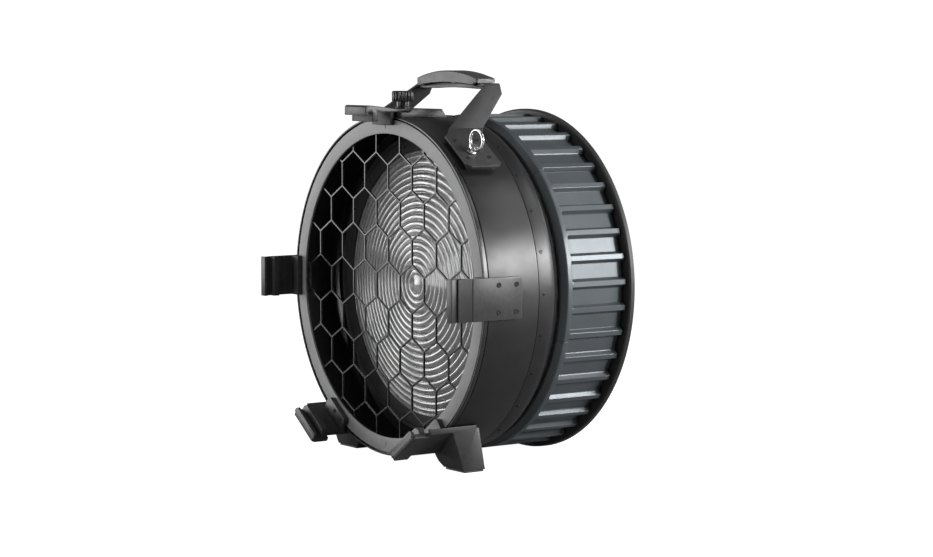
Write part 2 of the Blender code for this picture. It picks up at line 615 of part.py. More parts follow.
def make_top_claw(paints):
    """Base on the drum, lifting claw, stud, washer and fluted knob."""
    along_x = lambda y, z, x: (x, y, z)
    flat = lambda x, y, z: (x, y, z)
    half = 33.0
    base = prism_part("latch_base", [(3.0, 215.0), (3.0, PLATE_LOW_Z - GAP), (50.0, PLATE_LOW_Z - GAP),
                                     (50.0, LATCH_TOP_Z), (67.0, LATCH_TOP_Z), (82.0, 213.0)],
                      -half, half, along_x, paints["cast_black"])
    for side, sign in (("left", -1.0), ("right", 1.0)):
        rail = sorted((sign * 26.0, sign * half))
        weld(base, prism_part(f"rail_guide_{side}", [(14.0, 226.0), (20.0, LATCH_TOP_Z), (52.0, LATCH_TOP_Z),
                                                            (52.0, 226.0)],
                              rail[0], rail[1], along_x, None))
    pocket = rod("stud_pocket", STUD_D / 2.0 + GAP, (0.0, STUD_Y, 227.0), (0, 0, 1), 10.0, 24, None)
    cut(base, drum_cylinder("drum_under_latch", RIM_R + GAP, -5.0, 90.0), pocket)
    claw = prism_part("top_claw", [(-48.0, 225.6), (-48.0, 236.4), (-45.5, 238.8), (-38.0, 238.4),
                                   (-14.0, 235.8), (-1.3, PLATE_HIGH_Z), (-1.3, PLATE_LOW_Z), (-28.5, PLATE_LOW_Z),
                                   (-28.5, 217.4), (-36.7, 217.4), (-36.7, PLATE_LOW_Z), (-43.0, PLATE_LOW_Z),
                                   (-43.0, 225.6)],
                      -TOP_CLAW_HALF, TOP_CLAW_HALF, along_x, paints["cast_black"])
    weld(claw, prism_part("neck_guide", [(-7.0, 212.5), (-1.3, 212.5), (-1.3, 231.5), (-7.0, 231.5)],
                          -TOP_NECK_HALF, TOP_NECK_HALF, along_x, None),
         prism_part("tail_guide", teardrop(), PLATE_LOW_Z, PLATE_HIGH_Z, flat, None))
    cut(claw, rod("stud_way", STUD_D / 2.0 + 0.8, (0.0, STUD_Y, 225.0), (0, 0, 1), 20.0, 24, None))
    rod("latch_stud", STUD_D / 2.0, (0.0, STUD_Y, 227.0 + GAP), (0, 0, 1), 25.0, 24, paints["steel"])
    washer_low = PLATE_HIGH_Z + GAP
    washer = rod("latch_washer", 10.0, (0.0, STUD_Y, washer_low), (0, 0, 1), 1.5, 24, paints["steel"],
                 (0.0, STUD_Y, washer_low))
    cut(washer, rod("washer_bore", STUD_D / 2.0 + 0.6, (0.0, STUD_Y, 230.0), (0, 0, 1), 12.0, 24, None))
    make_knob(paints, washer_low + 1.5 + GAP)


def make_knob(paints, low):
    """Fluted clamping knob with a collar, bored for the stud."""
    pivot = (0.0, STUD_Y, low)
    outline = []
    for k in range(KNOB_FLUTES * 2):
        radius = KNOB_R if k % 2 == 0 else KNOB_R - 1.2
        turn = math.tau * k / (KNOB_FLUTES * 2)
        outline.append((radius * math.cos(turn), STUD_Y + radius * math.sin(turn)))
    knob = prism_part("latch_knob", outline, 242.8, 256.8, lambda x, y, z: (x, y, z), paints["knob_black"],
                      pivot)
    weld(knob, rod("collar_guide", 8.5, (0.0, STUD_Y, low), (0, 0, 1), 8.0, 24, None))
    cut(knob, rod("knob_bore", STUD_D / 2.0 + 0.5, (0.0, STUD_Y, low - 2.0), (0, 0, 1), 19.5, 24, None))


# --- handle ----------------------------------------------------------------------------------------------

def handle_stations(place):
    """Outer face of the bent handle sheet, tab first: (x, z, front y, rear y)."""
    def on_plate(along, front, rear):
        x, unused_y, z = place(along, 0.0, HANDLE_PLATE_R + HANDLE_SHEET)
        return (x, z, front, rear)

    top_front, top_rear = 103.0, 128.0
    return [(TAB_END_X, HANDLE_TOP_Z, top_front, top_rear),
            (HANDLE_TOP_X - 1.8, HANDLE_TOP_Z, top_front, top_rear),
            (HANDLE_TOP_X, HANDLE_TOP_Z - 2.0, top_front, top_rear),
            (85.0, HANDLE_TOP_Z - 14.0, 86.4, top_rear - 1.0),
            (106.8, 209.5, 26.0, 80.0),
            on_plate(27.5, 20.0, 75.0), on_plate(22.0, HANDLE_FRONT_Y, HANDLE_REAR_Y),
            on_plate(-36.0, HANDLE_FRONT_Y, HANDLE_REAR_Y),
            on_plate(-42.0, HANDLE_FRONT_Y + 6.0, HANDLE_REAR_Y - 6.0)]


def sheet_ribbon(name, stations, thick, material, sign):
    """A bent sheet: a polyline in x and z, with its own front and rear y at each station."""
    points = [Vector((x, z)) for x, z, front, rear in stations]
    normals = []
    for i in range(len(points)):
        before = (points[i] - points[max(i - 1, 0)])
        after = (points[min(i + 1, len(points) - 1)] - points[i])
        sides = [Vector((-d.y, d.x)).normalized() for d in (before, after) if d.length > 0.0]
        mean = sum(sides, Vector((0.0, 0.0))).normalized()
        normals.append(mean / max(mean.dot(sides[0]), 0.5))
    bm = bmesh.new()
    loops = []
    for (x, z, front, rear), normal in zip(stations, normals):
        inner = Vector((x, z)) - normal * thick
        loops.append([bm.verts.new((sign * x, front, z)), bm.verts.new((sign * x, rear, z)),
                      bm.verts.new((sign * inner.x, rear, inner.y)),
                      bm.verts.new((sign * inner.x, front, inner.y))])
    bm.faces.new(loops[0])
    bm.faces.new(loops[-1])
    for first, second in zip(loops, loops[1:]):
        for i in range(4):
            bm.faces.new((first[i - 1], first[i], second[i], second[i - 1]))
    return finish_mesh(bm, name, material)


def make_handle(paints):
    """Two bent brackets on spacers, the arched bar between them and the rubber grip over it."""
    right_place = tangent_place(HANDLE_ANGLE)
    stations = handle_stations(right_place)
    for side, sign in (("right", 1.0), ("left", -1.0)):
        sheet_ribbon(f"handle_bracket_{side}", stations, HANDLE_SHEET, paints["cast_black"], sign)
        block = [(-36.0, 17.0), (17.0, 17.0), (17.0, 61.0), (-36.0, 61.0)]
        spacer = prism_part(f"handle_spacer_{side}", block, 218.0, HANDLE_PLATE_R - GAP,
                            lambda u, v, d, sign=sign: mirrored(right_place(u, v, d), sign), paints["rubber"])
        cut(spacer, drum_cylinder(f"drum_under_spacer_{side}", RIM_R + GAP, 0.0, 100.0))
    bar_high = HANDLE_TOP_Z - HANDLE_SHEET - GAP
    half = HANDLE_TOP_X - 4.0
    above, below = BAR_ARCH
    arched = [(k / 6.0, 1.0 - (k / 6.0) ** 2) for k in range(-6, 7)]
    top_edge = [(BAR_ARCH_END * share, bar_high + above * rise) for share, rise in arched]
    low_edge = [(BAR_ARCH_END * share, bar_high - BAR_THICK + below * rise) for share, rise in reversed(arched)]
    outline = [(-half, bar_high)] + top_edge + [(half, bar_high), (half, bar_high - BAR_THICK)]
    outline += low_edge + [(-half, bar_high - BAR_THICK)]
    prism_part("handle_bar", outline, 105.0, 126.0, lambda x, z, y: (x, y, z), paints["cast_black"])
    make_grip(paints)


def mirrored(point, sign):
    """The same point on the left or right of the object."""
    return (sign * point[0], point[1], point[2])


def make_grip(paints):
    """Arched rubber grip lying along x, rounded over its back, its ends resting on the bracket tabs."""
    half = 70.0
    front_y, rear_y = 97.0, 127.0
    over_tab = HANDLE_TOP_Z + GAP
    inner = [54.0 * k / 5.0 for k in range(-5, 6)]
    stations = [-half, -TAB_END_X + GAP, -TAB_END_X + 2.0 * GAP] + inner
    stations += [TAB_END_X - 2.0 * GAP, TAB_END_X - GAP, half]
    bm = bmesh.new()
    loops = []
    for x in stations:
        arch = 1.0 - (x / half) ** 2
        low = over_tab if abs(x) > TAB_END_X - 1.5 * GAP else HANDLE_TOP_Z - 3.6 + 4.6 * arch
        high = 269.4 + 10.0 * arch
        top = high + 4.2
        section = [(front_y, low), (front_y, high), (front_y + 6.0, top), (rear_y - 6.0, top),
                   (rear_y, high), (rear_y, low)]
        loops.append([bm.verts.new((x, y, z)) for y, z in section])
    bm.faces.new(loops[0])
    bm.faces.new(loops[-1])
    for first, second in zip(loops, loops[1:]):
        for i in range(len(first)):
            bm.faces.new((first[i - 1], first[i], second[i], second[i - 1]))
    return smooth(finish_mesh(bm, "handle_grip", paints["rubber"]), 30.0)


# --- safety eye ------------------------------------------------------------------------------------------

def make_safety_eye(paints):
    """Swivelling eye bolt and its ring on the right handle bracket."""
    place = tangent_place(HANDLE_ANGLE)
    foot = HANDLE_PLATE_R + HANDLE_SHEET + GAP
    base = place(HANDLE_CENTRE_S, HANDLE_CENTRE_Y, foot)
    out = Vector(place(0.0, 0.0, 1.0))
    tangent = Vector(place(1.0, 0.0, 0.0))
    stud = rod("safety_eye_stud", 6.5, base, out, 2.0, 24, paints["steel"], base)
    half_u, half_v = EYE_BLOCK_HALF
    outline = [(-half_u, -half_v), (half_u, -half_v), (half_u, half_v), (-half_u, half_v)]
    block = prism_part("eye_block_guide", outline, foot + 1.0, foot + EYE_HOLE_HEIGHT + 5.2,
                       lambda u, v, d: place(HANDLE_CENTRE_S + u, HANDLE_CENTRE_Y + v, d), None)
    hole_from = place(HANDLE_CENTRE_S - 10.0, HANDLE_CENTRE_Y, foot + EYE_HOLE_HEIGHT)
    weld(stud, block)
    cut(stud, rod("eye_hole", EYE_WIRE_R + 0.9, hole_from, tangent, 20.0, 20, None))
    ring_pivot = Vector(place(HANDLE_CENTRE_S, HANDLE_CENTRE_Y, foot + EYE_HOLE_HEIGHT))
    centre = ring_pivot + out * EYE_RING_R
    across = Vector((0.0, 1.0, 0.0))
    bm = bmesh.new()
    turns, sides = 28, 8
    for k in range(turns):
        angle = math.tau * k / turns
        radial = out * math.cos(angle) + tangent * math.sin(angle)
        for i in range(sides):
            around = math.tau * i / sides
            spot = centre + radial * (EYE_RING_R + EYE_WIRE_R * math.cos(around))
            bm.verts.new(spot + across * EYE_WIRE_R * math.sin(around))
    bm.verts.ensure_lookup_table()
    for k in range(turns):
        for i in range(sides):
            corner = [((k + a) % turns) * sides + (i + b) % sides
                      for a, b in ((0, 0), (1, 0), (1, 1), (0, 1))]
            bm.faces.new([bm.verts[n] for n in corner])
    smooth(finish_mesh(bm, "safety_ring", paints["steel"], ring_pivot), 60.0)


# --- assembly --------------------------------------------------------------------------------------------

def build():
    """Clear the scene and make every part."""
    for old in list(bpy.data.objects):
        bpy.data.objects.remove(old, do_unlink=True)
    paints = make_materials()
    make_front(paints)
    lens_assembly(paints)
    focus_drive(paints)
    make_grip_ring(paints)
    make_rear(paints)
    make_side_claws(paints)
    make_lower_claws(paints)
    make_top_claw(paints)
    make_handle(paints)
    make_safety_eye(paints)


build()
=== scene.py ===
"""Looks of a stepped lens spotlight head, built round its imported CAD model.

Lengths are in millimetres in the drum frame: x to the right seen from the front, y backwards from the front
face of the bezel, z upwards from the optical axis.  at() turns them into the row frame in metres.
"""

import json
import math

import bmesh
import bpy
import numpy as np
from mathutils import Matrix, Vector

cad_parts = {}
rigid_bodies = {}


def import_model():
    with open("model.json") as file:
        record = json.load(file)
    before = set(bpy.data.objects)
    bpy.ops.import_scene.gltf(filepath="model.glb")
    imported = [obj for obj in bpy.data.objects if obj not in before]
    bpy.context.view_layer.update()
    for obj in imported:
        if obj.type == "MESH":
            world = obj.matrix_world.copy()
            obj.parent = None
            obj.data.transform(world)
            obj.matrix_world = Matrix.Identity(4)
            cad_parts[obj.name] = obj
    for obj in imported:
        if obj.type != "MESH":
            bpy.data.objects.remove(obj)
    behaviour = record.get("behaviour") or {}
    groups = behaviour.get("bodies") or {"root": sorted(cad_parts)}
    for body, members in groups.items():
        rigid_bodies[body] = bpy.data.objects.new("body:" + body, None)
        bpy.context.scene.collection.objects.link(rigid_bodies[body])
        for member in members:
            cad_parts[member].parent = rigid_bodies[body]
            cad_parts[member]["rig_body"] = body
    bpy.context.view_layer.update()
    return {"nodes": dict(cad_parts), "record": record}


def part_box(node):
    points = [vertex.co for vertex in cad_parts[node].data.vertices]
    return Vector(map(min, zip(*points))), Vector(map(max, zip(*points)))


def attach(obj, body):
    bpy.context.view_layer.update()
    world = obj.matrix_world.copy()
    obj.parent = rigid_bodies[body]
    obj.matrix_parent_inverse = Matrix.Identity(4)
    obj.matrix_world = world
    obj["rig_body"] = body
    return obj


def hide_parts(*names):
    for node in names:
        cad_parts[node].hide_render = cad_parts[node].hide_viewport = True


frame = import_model()

MM = 0.001
BEZEL_LOW, BEZEL_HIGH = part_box("front_bezel")
FRONT_Y = BEZEL_LOW.y / MM
AXIS_Z = (BEZEL_LOW.z + BEZEL_HIGH.z) / 2.0 / MM

# Facets round a full turn, the usual edge rounding and the gap between neighbours.  soften() rounds the edges
# that turn by more than SHARP_EDGE degrees.
FACETS = 216
EDGE = 0.35
GAP = 0.35
SHARP_EDGE = 28.0

# Drum, as in the CAD model.
BEZEL_R = (201.0, 219.9)
BEZEL_THICK = 2.6
BEZEL_SLOT_R = 211.0
BEZEL_SLOT_HALF = (0.8, 3.5)
RIM_R = 224.6
RIM_WALL = 2.2
RIM_LIP_Y = -0.8
RIM_REAR_Y = 5.4
SHELF_R = 209.0
DRUM_INNER_R = 221.6
SEAM_Y = 84.0
BAND_HALF = 12.0
BAND_THICK = 3.6
REAR_R = 224.2
GUIDE_R = 207.0

# Shoulder of the rear shell: (radius, y, corner radius) along its outside and back along its inside.
SHOULDER_START_Y = 103.0
SHOULDER_Y = 118.0
SHOULDER_THICK = 3.0
SHOULDER_OUTSIDE = [(222.6, 110.0, 3.0), (218.4, 115.4, 2.5), (211.0, SHOULDER_Y, 2.0)]
SHOULDER_INSIDE = [(210.2, SHOULDER_Y - SHOULDER_THICK), (216.4, 112.8, 1.5)]

# Rear flange and cover dish.  A louvre's half length is LOUVRE_REACH[0] + LOUVRE_REACH[1] * its radius.
FLANGE_R = 231.5
FLANGE_Y = (226.6, 235.5)
FLANGE_BEVEL = 1.6
FLANGE_LIP_R = 225.0
HUB_R = 212.2
HUB_BORE_R = 205.0
HUB_Y = (215.4, 220.4)
COVER_GAP = 4.0
COVER_SEAT_Y = 220.75
COVER_RIM = (200.0, 224.0)
COVER_DISH = (120.0, 234.0)
COVER_BORE_R = 104.0
COVER_THICK = 3.0
LOUVRE_SETS = 12
LOUVRE_RADII = (136.0, 148.0, 160.0, 172.0)
LOUVRE_HALF = 2.0
LOUVRE_REACH = (2.2, 0.075)
LOUVRE_FLOOR_Y = 232.6
DISH_SLOPE = 0.125

# Guard.
HEX_SIDE = 32.0
GUARD_BAR = 2.6
GUARD_Y = (2.95, 5.4)
GUARD_R = 208.5
GUARD_HOLE_R = 203.0
GUARD_FILLET = 0.5

# Lens: envelope of the dome, zones of the stepped face.  A zone starts with a steep wall, comes furthest
# forward at LENS_CREST_SHARE of its width and falls back by LENS_STEP at its outer edge.
LENS_R = 179.5
LENS_RIM_R = 177.0
LENS_CENTRE_Y = 47.5
LENS_DOME = 17.5
LENS_THICK = 6.0
LENS_EDGE_Y = LENS_CENTRE_Y + LENS_DOME
LENS_ZONES = 18
LENS_STEP = 2.0
LENS_EYE_R = 12.4
LENS_WALL_SHARE = 0.07
LENS_CREST_SHARE = 0.45
LENS_LIFT = 0.1

# Lens cell: seal, clamp ring, carrier and its three arms.
SEAL_WALL = 3.0
CLAMP_R = 195.0
CLAMP_THICK = 2.6
CARRIER_R = 200.5
CARRIER_BORE_R = 176.5
CARRIER_WALL = 3.5
CARRIER_REAR_Y = 87.0
ARM_HALF = 13.0
ARM_Y = (81.0, 145.0)
ARM_ANGLES = (90.0, 210.0, 330.0)

# Grip ring.
SEGMENTS = 6
RIBS = 7
SEGMENT_START = 43.9
RIB_START = 1.8
RIB_PITCH = 360.0 / (SEGMENTS * RIBS)
GRIP_INNER_R = 212.9
GRIP_FRONT_R = 217.0
GRIP_GROOVE_R = 219.2
GRIP_TAIL_R = 215.6
GRIP_TOP_R = 225.0
GRIP_Y = (124.3, 225.4)
BAND_END_Y = 137.3
GROOVE_END_Y = 216.5
GROOVE_RAMP = 2.2
JOINT_HALF = 0.16
JOINT_SINK = 0.35

# Rear mount.
MOUNT_FRONT_Y = 234.35
MOUNT_REAR_Y = 246.0
MOUNT_R = 112.0
MOUNT_BORE_R = 92.0
MOUNT_STEP = 3.0
LUG_ANGLES = (30.0, 150.0, 270.0)
LUG_OUTLINE = [(-24.0, 98.0), (24.0, 98.0), (19.0, 106.0), (-19.0, 106.0)]

# Claws, knob, handle grip and safety ring.
CLAW_OUTER = 229.0
LOWER_CLAW_ANGLE = 36.0
HANDLE_ANGLE = 54.0
HANDLE_FACE_R = 232.4
STUD_Y = 27.0
KNOB_R = 14.5
KNOB_Z = (242.8, 256.8)
KNOB_FLUTES = 20
KNOB_FLUTE_DEPTH = 1.5
KNOB_COLLAR_R = 8.5
KNOB_BORE_R = 4.5
GRIP_HALF = 70.0
GRIP_TAB_END = 62.0
GRIP_OVER_TAB_Z = 267.35
GRIP_LOW_Z = 263.4
GRIP_LOW_ARCH = 4.6
GRIP_HIGH_Z = 273.6
GRIP_HIGH_ARCH = 10.0
EYE_RING_R = 13.4
EYE_WIRE_R = 1.9

# Screw places, along the tangent and along y, and screw heads, as radius and height.
CLAW_SCREWS = (17.3, (17.6, 45.2))
CLAW_HEAD = (3.3, 0.9)
INNER_SCREWS = ((0.5, 25.0), (0.0, 41.0), (18.0, 47.5))
INNER_HEAD = (2.6, 1.0)
BRACKET_SCREWS = ((11.3, -24.0), (22.0, 55.6))
BRACKET_HEAD = (3.1, 0.9)
LOWER_CLAW_SCREWS = (-12.0, -30.0)
LOWER_CLAW_SCREW_R = 211.0
LOWER_CLAW_SCREW_Y = -8.0
LOWER_CLAW_HEAD = (2.6, 1.2)
CLAMP_SCREWS = 12
CLAMP_SCREW_R = 187.0
CLAMP_HEAD = (2.6, 1.4)
SHELL_SCREWS = 26
SHELL_SCREW_Y = 92.0
SHELL_HEAD = (2.3, 0.9)
COVER_SCREWS = 12
COVER_SCREW_R = 204.0
COVER_HEAD = (3.0, 1.6)
MOUNT_SCREWS = 6
MOUNT_SCREW_R = 116.5
MOUNT_SCREW_Y = 237.3
MOUNT_HEAD = (2.4, 1.4)

# Soft lights: name, direction from the drum, distance in metres, size in metres, power in watts.
SOFT_LIGHTS = (
    ("side_softbox", (0.78, 0.58, 0.24), 2.4, (1.6, 0.65), 66.0),
    ("front_fill", (-0.78, -0.60, 0.04), 2.6, (2.0, 1.5), 44.0),
    ("front_key", (0.05, -1.0, 0.12), 2.8, (0.8, 1.4), 20.0),
    ("top_panel", (-0.2, -0.2, 1.0), 2.4, (2.0, 2.0), 12.0),
    ("upper_strip", (0.42, 0.60, 0.68), 2.4, (1.0, 0.7), 5.0),
    ("rear_panel", (0.0, 1.0, 0.1), 2.0, (1.6, 1.6), 20.0),
)
BACKDROP_LEVEL = 1.05
AMBIENT_LEVEL = 0.14

# Camera, fitted to the circles of the drum.
CAMERA_TURN = 0.9530494
CAMERA_RISE = 0.0859008
CAMERA_ROLL = 0.0017675
CAMERA_LENS = 97.58
CAMERA_OFFSET = (3.32518, 0.31596, 104.2174)
CAMERA_UNIT = 0.032


# --- places and meshes -------------------------------------------------------------------------------------

def at(x, y, z):
    """A point of the drum frame in the row frame."""
    return Vector((x, y + FRONT_Y, z + AXIS_Z)) * MM


def polar(radius, degrees):
    """x and z on a circle round the optical axis."""
    turn = math.radians(degrees)
    return radius * math.cos(turn), radius * math.sin(turn)


def tangent_place(degrees):
    """Place (along the tangent, y, distance from the axis) at an angle round the drum."""
    out_x, out_z = polar(1.0, degrees)
    return lambda along, y, out: at(out_x * out - out_z * along, y, out_z * out + out_x * along)


def rounded(outline, radius=EDGE, steps=3, closed=True):
    """The outline with its corners rounded. A third number in a point is that corner's own radius."""
    result = []
    count = len(outline)
    for i, corner in enumerate(outline):
        point = Vector(corner[:2])
        size = corner[2] if len(corner) > 2 else radius
        if size == 0.0 or (not closed and i in (0, count - 1)):
            result.append(tuple(point))
            continue
        before = Vector(outline[i - 1][:2]) - point
        after = Vector(outline[(i + 1) % count][:2]) - point
        reach = min(size, before.length * 0.48, after.length * 0.48)
        start = point + before.normalized() * reach
        end = point + after.normalized() * reach
        for k in range(steps + 1):
            share = k / steps
            result.append(tuple(start.lerp(point, share).lerp(point.lerp(end, share), share)))
    return result


def join_loops(bm, loops, closed):
    """Faces between loops of vertices that follow each other."""
    pairs = list(zip(loops, loops[1:]))
    if closed:
        pairs.append((loops[-1], loops[0]))
    for first, second in pairs:
        for i in range(len(first)):
            bm.faces.new((first[i - 1], first[i], second[i], second[i - 1]))


def piece(name, bm, body, slot, nodes=(), angle=32.0, look=None):
    """A finished piece: it rides on a body, takes its slot's look or the given one, and hides the CAD nodes
    it stands in for.
    """
    bmesh.ops.recalc_face_normals(bm, faces=bm.faces)
    mesh = bpy.data.meshes.new(name)
    bm.to_mesh(mesh)
    bm.free()
    mesh.shade_smooth()
    mesh.set_sharp_from_angle(angle=math.radians(angle))
    thing = bpy.data.objects.new(name, mesh)
    bpy.context.scene.collection.objects.link(thing)
    mesh.materials.append(look or LOOKS[slot])
    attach(thing, body)
    if nodes:
        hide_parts(*nodes)
    return thing


def add_lathe(bm, outline, pole=False):
    """Add a profile of (radius, y) turned round the optical axis; pole profiles start and end on it."""
    rings = []
    for k in range(FACETS):
        c, s = polar(1.0, 360.0 * k / FACETS)
        rings.append([(r * c, y, r * s) for r, y in outline])
    if not pole:
        loops = [[bm.verts.new(at(*spot)) for spot in ring] for ring in rings]
        join_loops(bm, loops, True)
        return
    first = bm.verts.new(at(0.0, outline[0][1], 0.0))
    last = bm.verts.new(at(0.0, outline[-1][1], 0.0))
    loops = [[bm.verts.new(at(*spot)) for spot in ring[1:-1]] for ring in rings]
    for k in range(FACETS):
        here, there = loops[k - 1], loops[k]
        bm.faces.new((first, here[0], there[0]))
        bm.faces.new((last, there[-1], here[-1]))
        for i in range(len(here) - 1):
            bm.faces.new((here[i], here[i + 1], there[i + 1], there[i]))


def lathe(name, outline, slot, nodes, body="housing", look=None):
    """A turned piece with rounded corners."""
    bm = bmesh.new()
    add_lathe(bm, rounded(outline))
    return piece(name, bm, body, slot, nodes, look=look)


def soften(bm, width):
    """Round every sharp edge."""
    limit = math.radians(SHARP_EDGE)
    sharp = [edge for edge in bm.edges if len(edge.link_faces) == 2 and edge.calc_face_angle(0.0) > limit]
    bmesh.ops.bevel(bm, geom=sharp, offset=width * MM, offset_type="OFFSET", segments=2, profile=0.5,
                    affect="EDGES", clamp_overlap=True, miter_outer="ARC")


def add_prism(bm, outline, start, end, place):
    """Add an extruded outline of (u, v), from start to end, put in place by a function of u, v and depth."""
    loops = [[bm.verts.new(place(u, v, depth)) for u, v in outline] for depth in (start, end)]
    join_loops(bm, loops, False)
    bm.faces.new(loops[0])
    bm.faces.new(loops[1])


def softened_node(node, width, slot):
    """A CAD node with its flat faces merged and its edges rounded."""
    source = frame["nodes"][node]
    bm = bmesh.new()
    bm.from_mesh(source.data)
    bmesh.ops.remove_doubles(bm, verts=bm.verts, dist=0.002 * MM)
    bmesh.ops.dissolve_limit(bm, angle_limit=math.radians(0.6), verts=bm.verts, edges=bm.edges)
    soften(bm, width)
    return piece(node + "_finished", bm, source["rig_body"], slot, (node,))


# --- materials ---------------------------------------------------------------------------------------------

class Look:
    """A node material made of a principled shader and a few procedural layers."""

    def __init__(self, name):
        self.material = bpy.data.materials.new(name)
        self.material.use_nodes = True
        self.tree = self.material.node_tree
        self.shader = self.tree.nodes["Principled BSDF"]
        self.place = self.add("ShaderNodeTexCoord").outputs["Object"]
        self.normal = None

    def add(self, kind, links=(), **settings):
        """A node; settings name its properties, links pairs an input with a value or an output."""
        node = self.tree.nodes.new(kind)
        for key, value in settings.items():
            setattr(node, key, value)
        for key, value in links:
            if isinstance(value, bpy.types.NodeSocket):
                self.tree.links.new(value, node.inputs[key])
            else:
                node.inputs[key].default_value = value
        return node

    def set(self, **values):
        """Constants straight on the shader's sockets."""
        for key, value in values.items():
            self.shader.inputs[key.replace("_", " ")].default_value = value

    def link(self, source, key):
        """An output joined to one of the shader's sockets."""
        self.tree.links.new(source, self.shader.inputs[key])

    def noise(self, size, stretch=(1.0, 1.0, 1.0), detail=4.0, rough=0.55):
        """Noise whose grains are about size millimetres across, stretched along the axes."""
        scale = tuple(1.0 / s for s in stretch)
        spot = self.add("ShaderNodeMapping", [("Vector", self.place), ("Scale", scale)])
        return self.add("ShaderNodeTexNoise", [("Vector", spot.outputs[0]), ("Scale", 1.0 / (size * MM)),
                                               ("Detail", detail), ("Roughness", rough)]).outputs["Fac"]

    def spread(self, source, low, high, to_low=0.0, to_high=1.0):
        """The source's span low..high mapped to another span."""
        return self.add("ShaderNodeMapRange", [(0, source), (1, low), (2, high), (3, to_low),
                                               (4, to_high)]).outputs[0]

    def mix(self, share, first, second):
        """Colour mix."""
        node = self.add("ShaderNodeMix", data_type="RGBA")
        for index, value in ((0, share), (6, first), (7, second)):
            if isinstance(value, bpy.types.NodeSocket):
                self.tree.links.new(value, node.inputs[index])
            else:
                node.inputs[index].default_value = value
        return node.outputs[2]

    def bump(self, height, depth, strength=1.0):
        """Another layer of relief, depth in millimetres."""
        links = [("Height", height), ("Distance", depth * MM), ("Strength", strength)]
        if self.normal is not None:
            links.append(("Normal", self.normal))
        self.normal = self.add("ShaderNodeBump", links).outputs[0]
        self.link(self.normal, "Normal")

    def edges(self):
        """A mask that is bright on outward edges."""
        pointed = self.add("ShaderNodeNewGeometry").outputs["Pointiness"]
        return self.spread(pointed, 0.505, 0.56)


def shade(colour, factor):
    """The colour made lighter or darker, with its alpha."""
    return tuple(min(1.0, c * factor) for c in colour[:3]) + (1.0,)


def painted(name, colour, rough, grain, depth, wear=1.8, specular=0.5):
    """Paint on metal: fine grain, cloudy tone and gloss, edges rubbed a little lighter."""
    look = Look(name)
    cloud = look.noise(38.0, detail=3.0)
    fine = look.noise(grain, detail=2.0)
    tone = look.mix(look.spread(cloud, 0.32, 0.68), shade(colour, 0.86), shade(colour, 1.16))
    speck = look.spread(look.noise(2.2, detail=5.0, rough=0.7), 0.60, 0.74, 0.0, 0.35)
    tone = look.mix(speck, tone, shade(colour, 1.5))
    rub = look.add("ShaderNodeMath", [(0, look.edges()), (1, look.spread(look.noise(6.0), 0.35, 0.65))],
                   operation="MULTIPLY").outputs[0]
    rub = look.spread(rub, 0.0, 1.0, 0.0, 0.5)
    look.link(look.mix(rub, tone, shade(colour, wear)), "Base Color")
    look.link(look.spread(cloud, 0.3, 0.7, rough - 0.05, rough + 0.05), "Roughness")
    look.set(Specular_IOR_Level=specular)
    look.bump(fine, depth, 0.6)
    return look.material


def turned_metal(name, colour, rough, stretch, depth, metallic=1.0):
    """Bare or anodised metal with fine tool marks running round the part."""
    look = Look(name)
    marks = look.noise(0.5, stretch, detail=3.0)
    cloud = look.noise(30.0, detail=3.0)
    tone = look.mix(look.spread(cloud, 0.3, 0.7), shade(colour, 0.94), shade(colour, 1.05))
    tone = look.mix(look.spread(look.edges(), 0.0, 1.0, 0.0, 0.4), tone, shade(colour, 1.35))
    look.link(tone, "Base Color")
    look.link(look.spread(marks, 0.3, 0.7, rough - 0.04, rough + 0.05), "Roughness")
    look.set(Metallic=metallic)
    look.bump(marks, depth, 0.5)
    return look.material


def rubbery(name, colour, rough, grain, depth):
    """Moulded rubber or plain plastic: fine pores and faint dust."""
    look = Look(name)
    cloud = look.noise(24.0, detail=4.0)
    dust = look.spread(look.noise(5.0, detail=6.0, rough=0.7), 0.5, 0.8, 0.0, 0.4)
    tone = look.mix(look.spread(cloud, 0.3, 0.7), shade(colour, 0.85), shade(colour, 1.2))
    look.link(look.mix(dust, tone, shade(colour, 1.7)), "Base Color")
    look.link(look.spread(cloud, 0.3, 0.7, rough - 0.06, min(1.0, rough + 0.08)), "Roughness")
    look.set(Specular_IOR_Level=0.4)
    look.bump(look.noise(grain, detail=3.0), depth, 0.7)
    return look.material


def lens_glass(name):
    """Pressed glass, slightly clouded by its stippled back, with faint ripples."""
    look = Look(name)
    cloud = look.noise(16.0, detail=4.0)
    clear, milky = (0.42, 0.42, 0.42, 1.0), (0.54, 0.54, 0.54, 1.0)
    look.link(look.mix(look.spread(cloud, 0.3, 0.7), clear, milky), "Base Color")
    look.link(look.spread(look.noise(7.0, detail=4.0), 0.3, 0.7, 0.07, 0.14), "Roughness")
    look.set(IOR=1.52, Transmission_Weight=0.55, Specular_IOR_Level=0.8, Coat_Weight=1.0, Coat_Roughness=0.12,
             Coat_IOR=1.7)
    look.bump(look.noise(14.0, detail=2.0), 0.16, 0.6)
    look.bump(look.noise(3.0, detail=3.0), 0.015, 0.5)
    return look.material


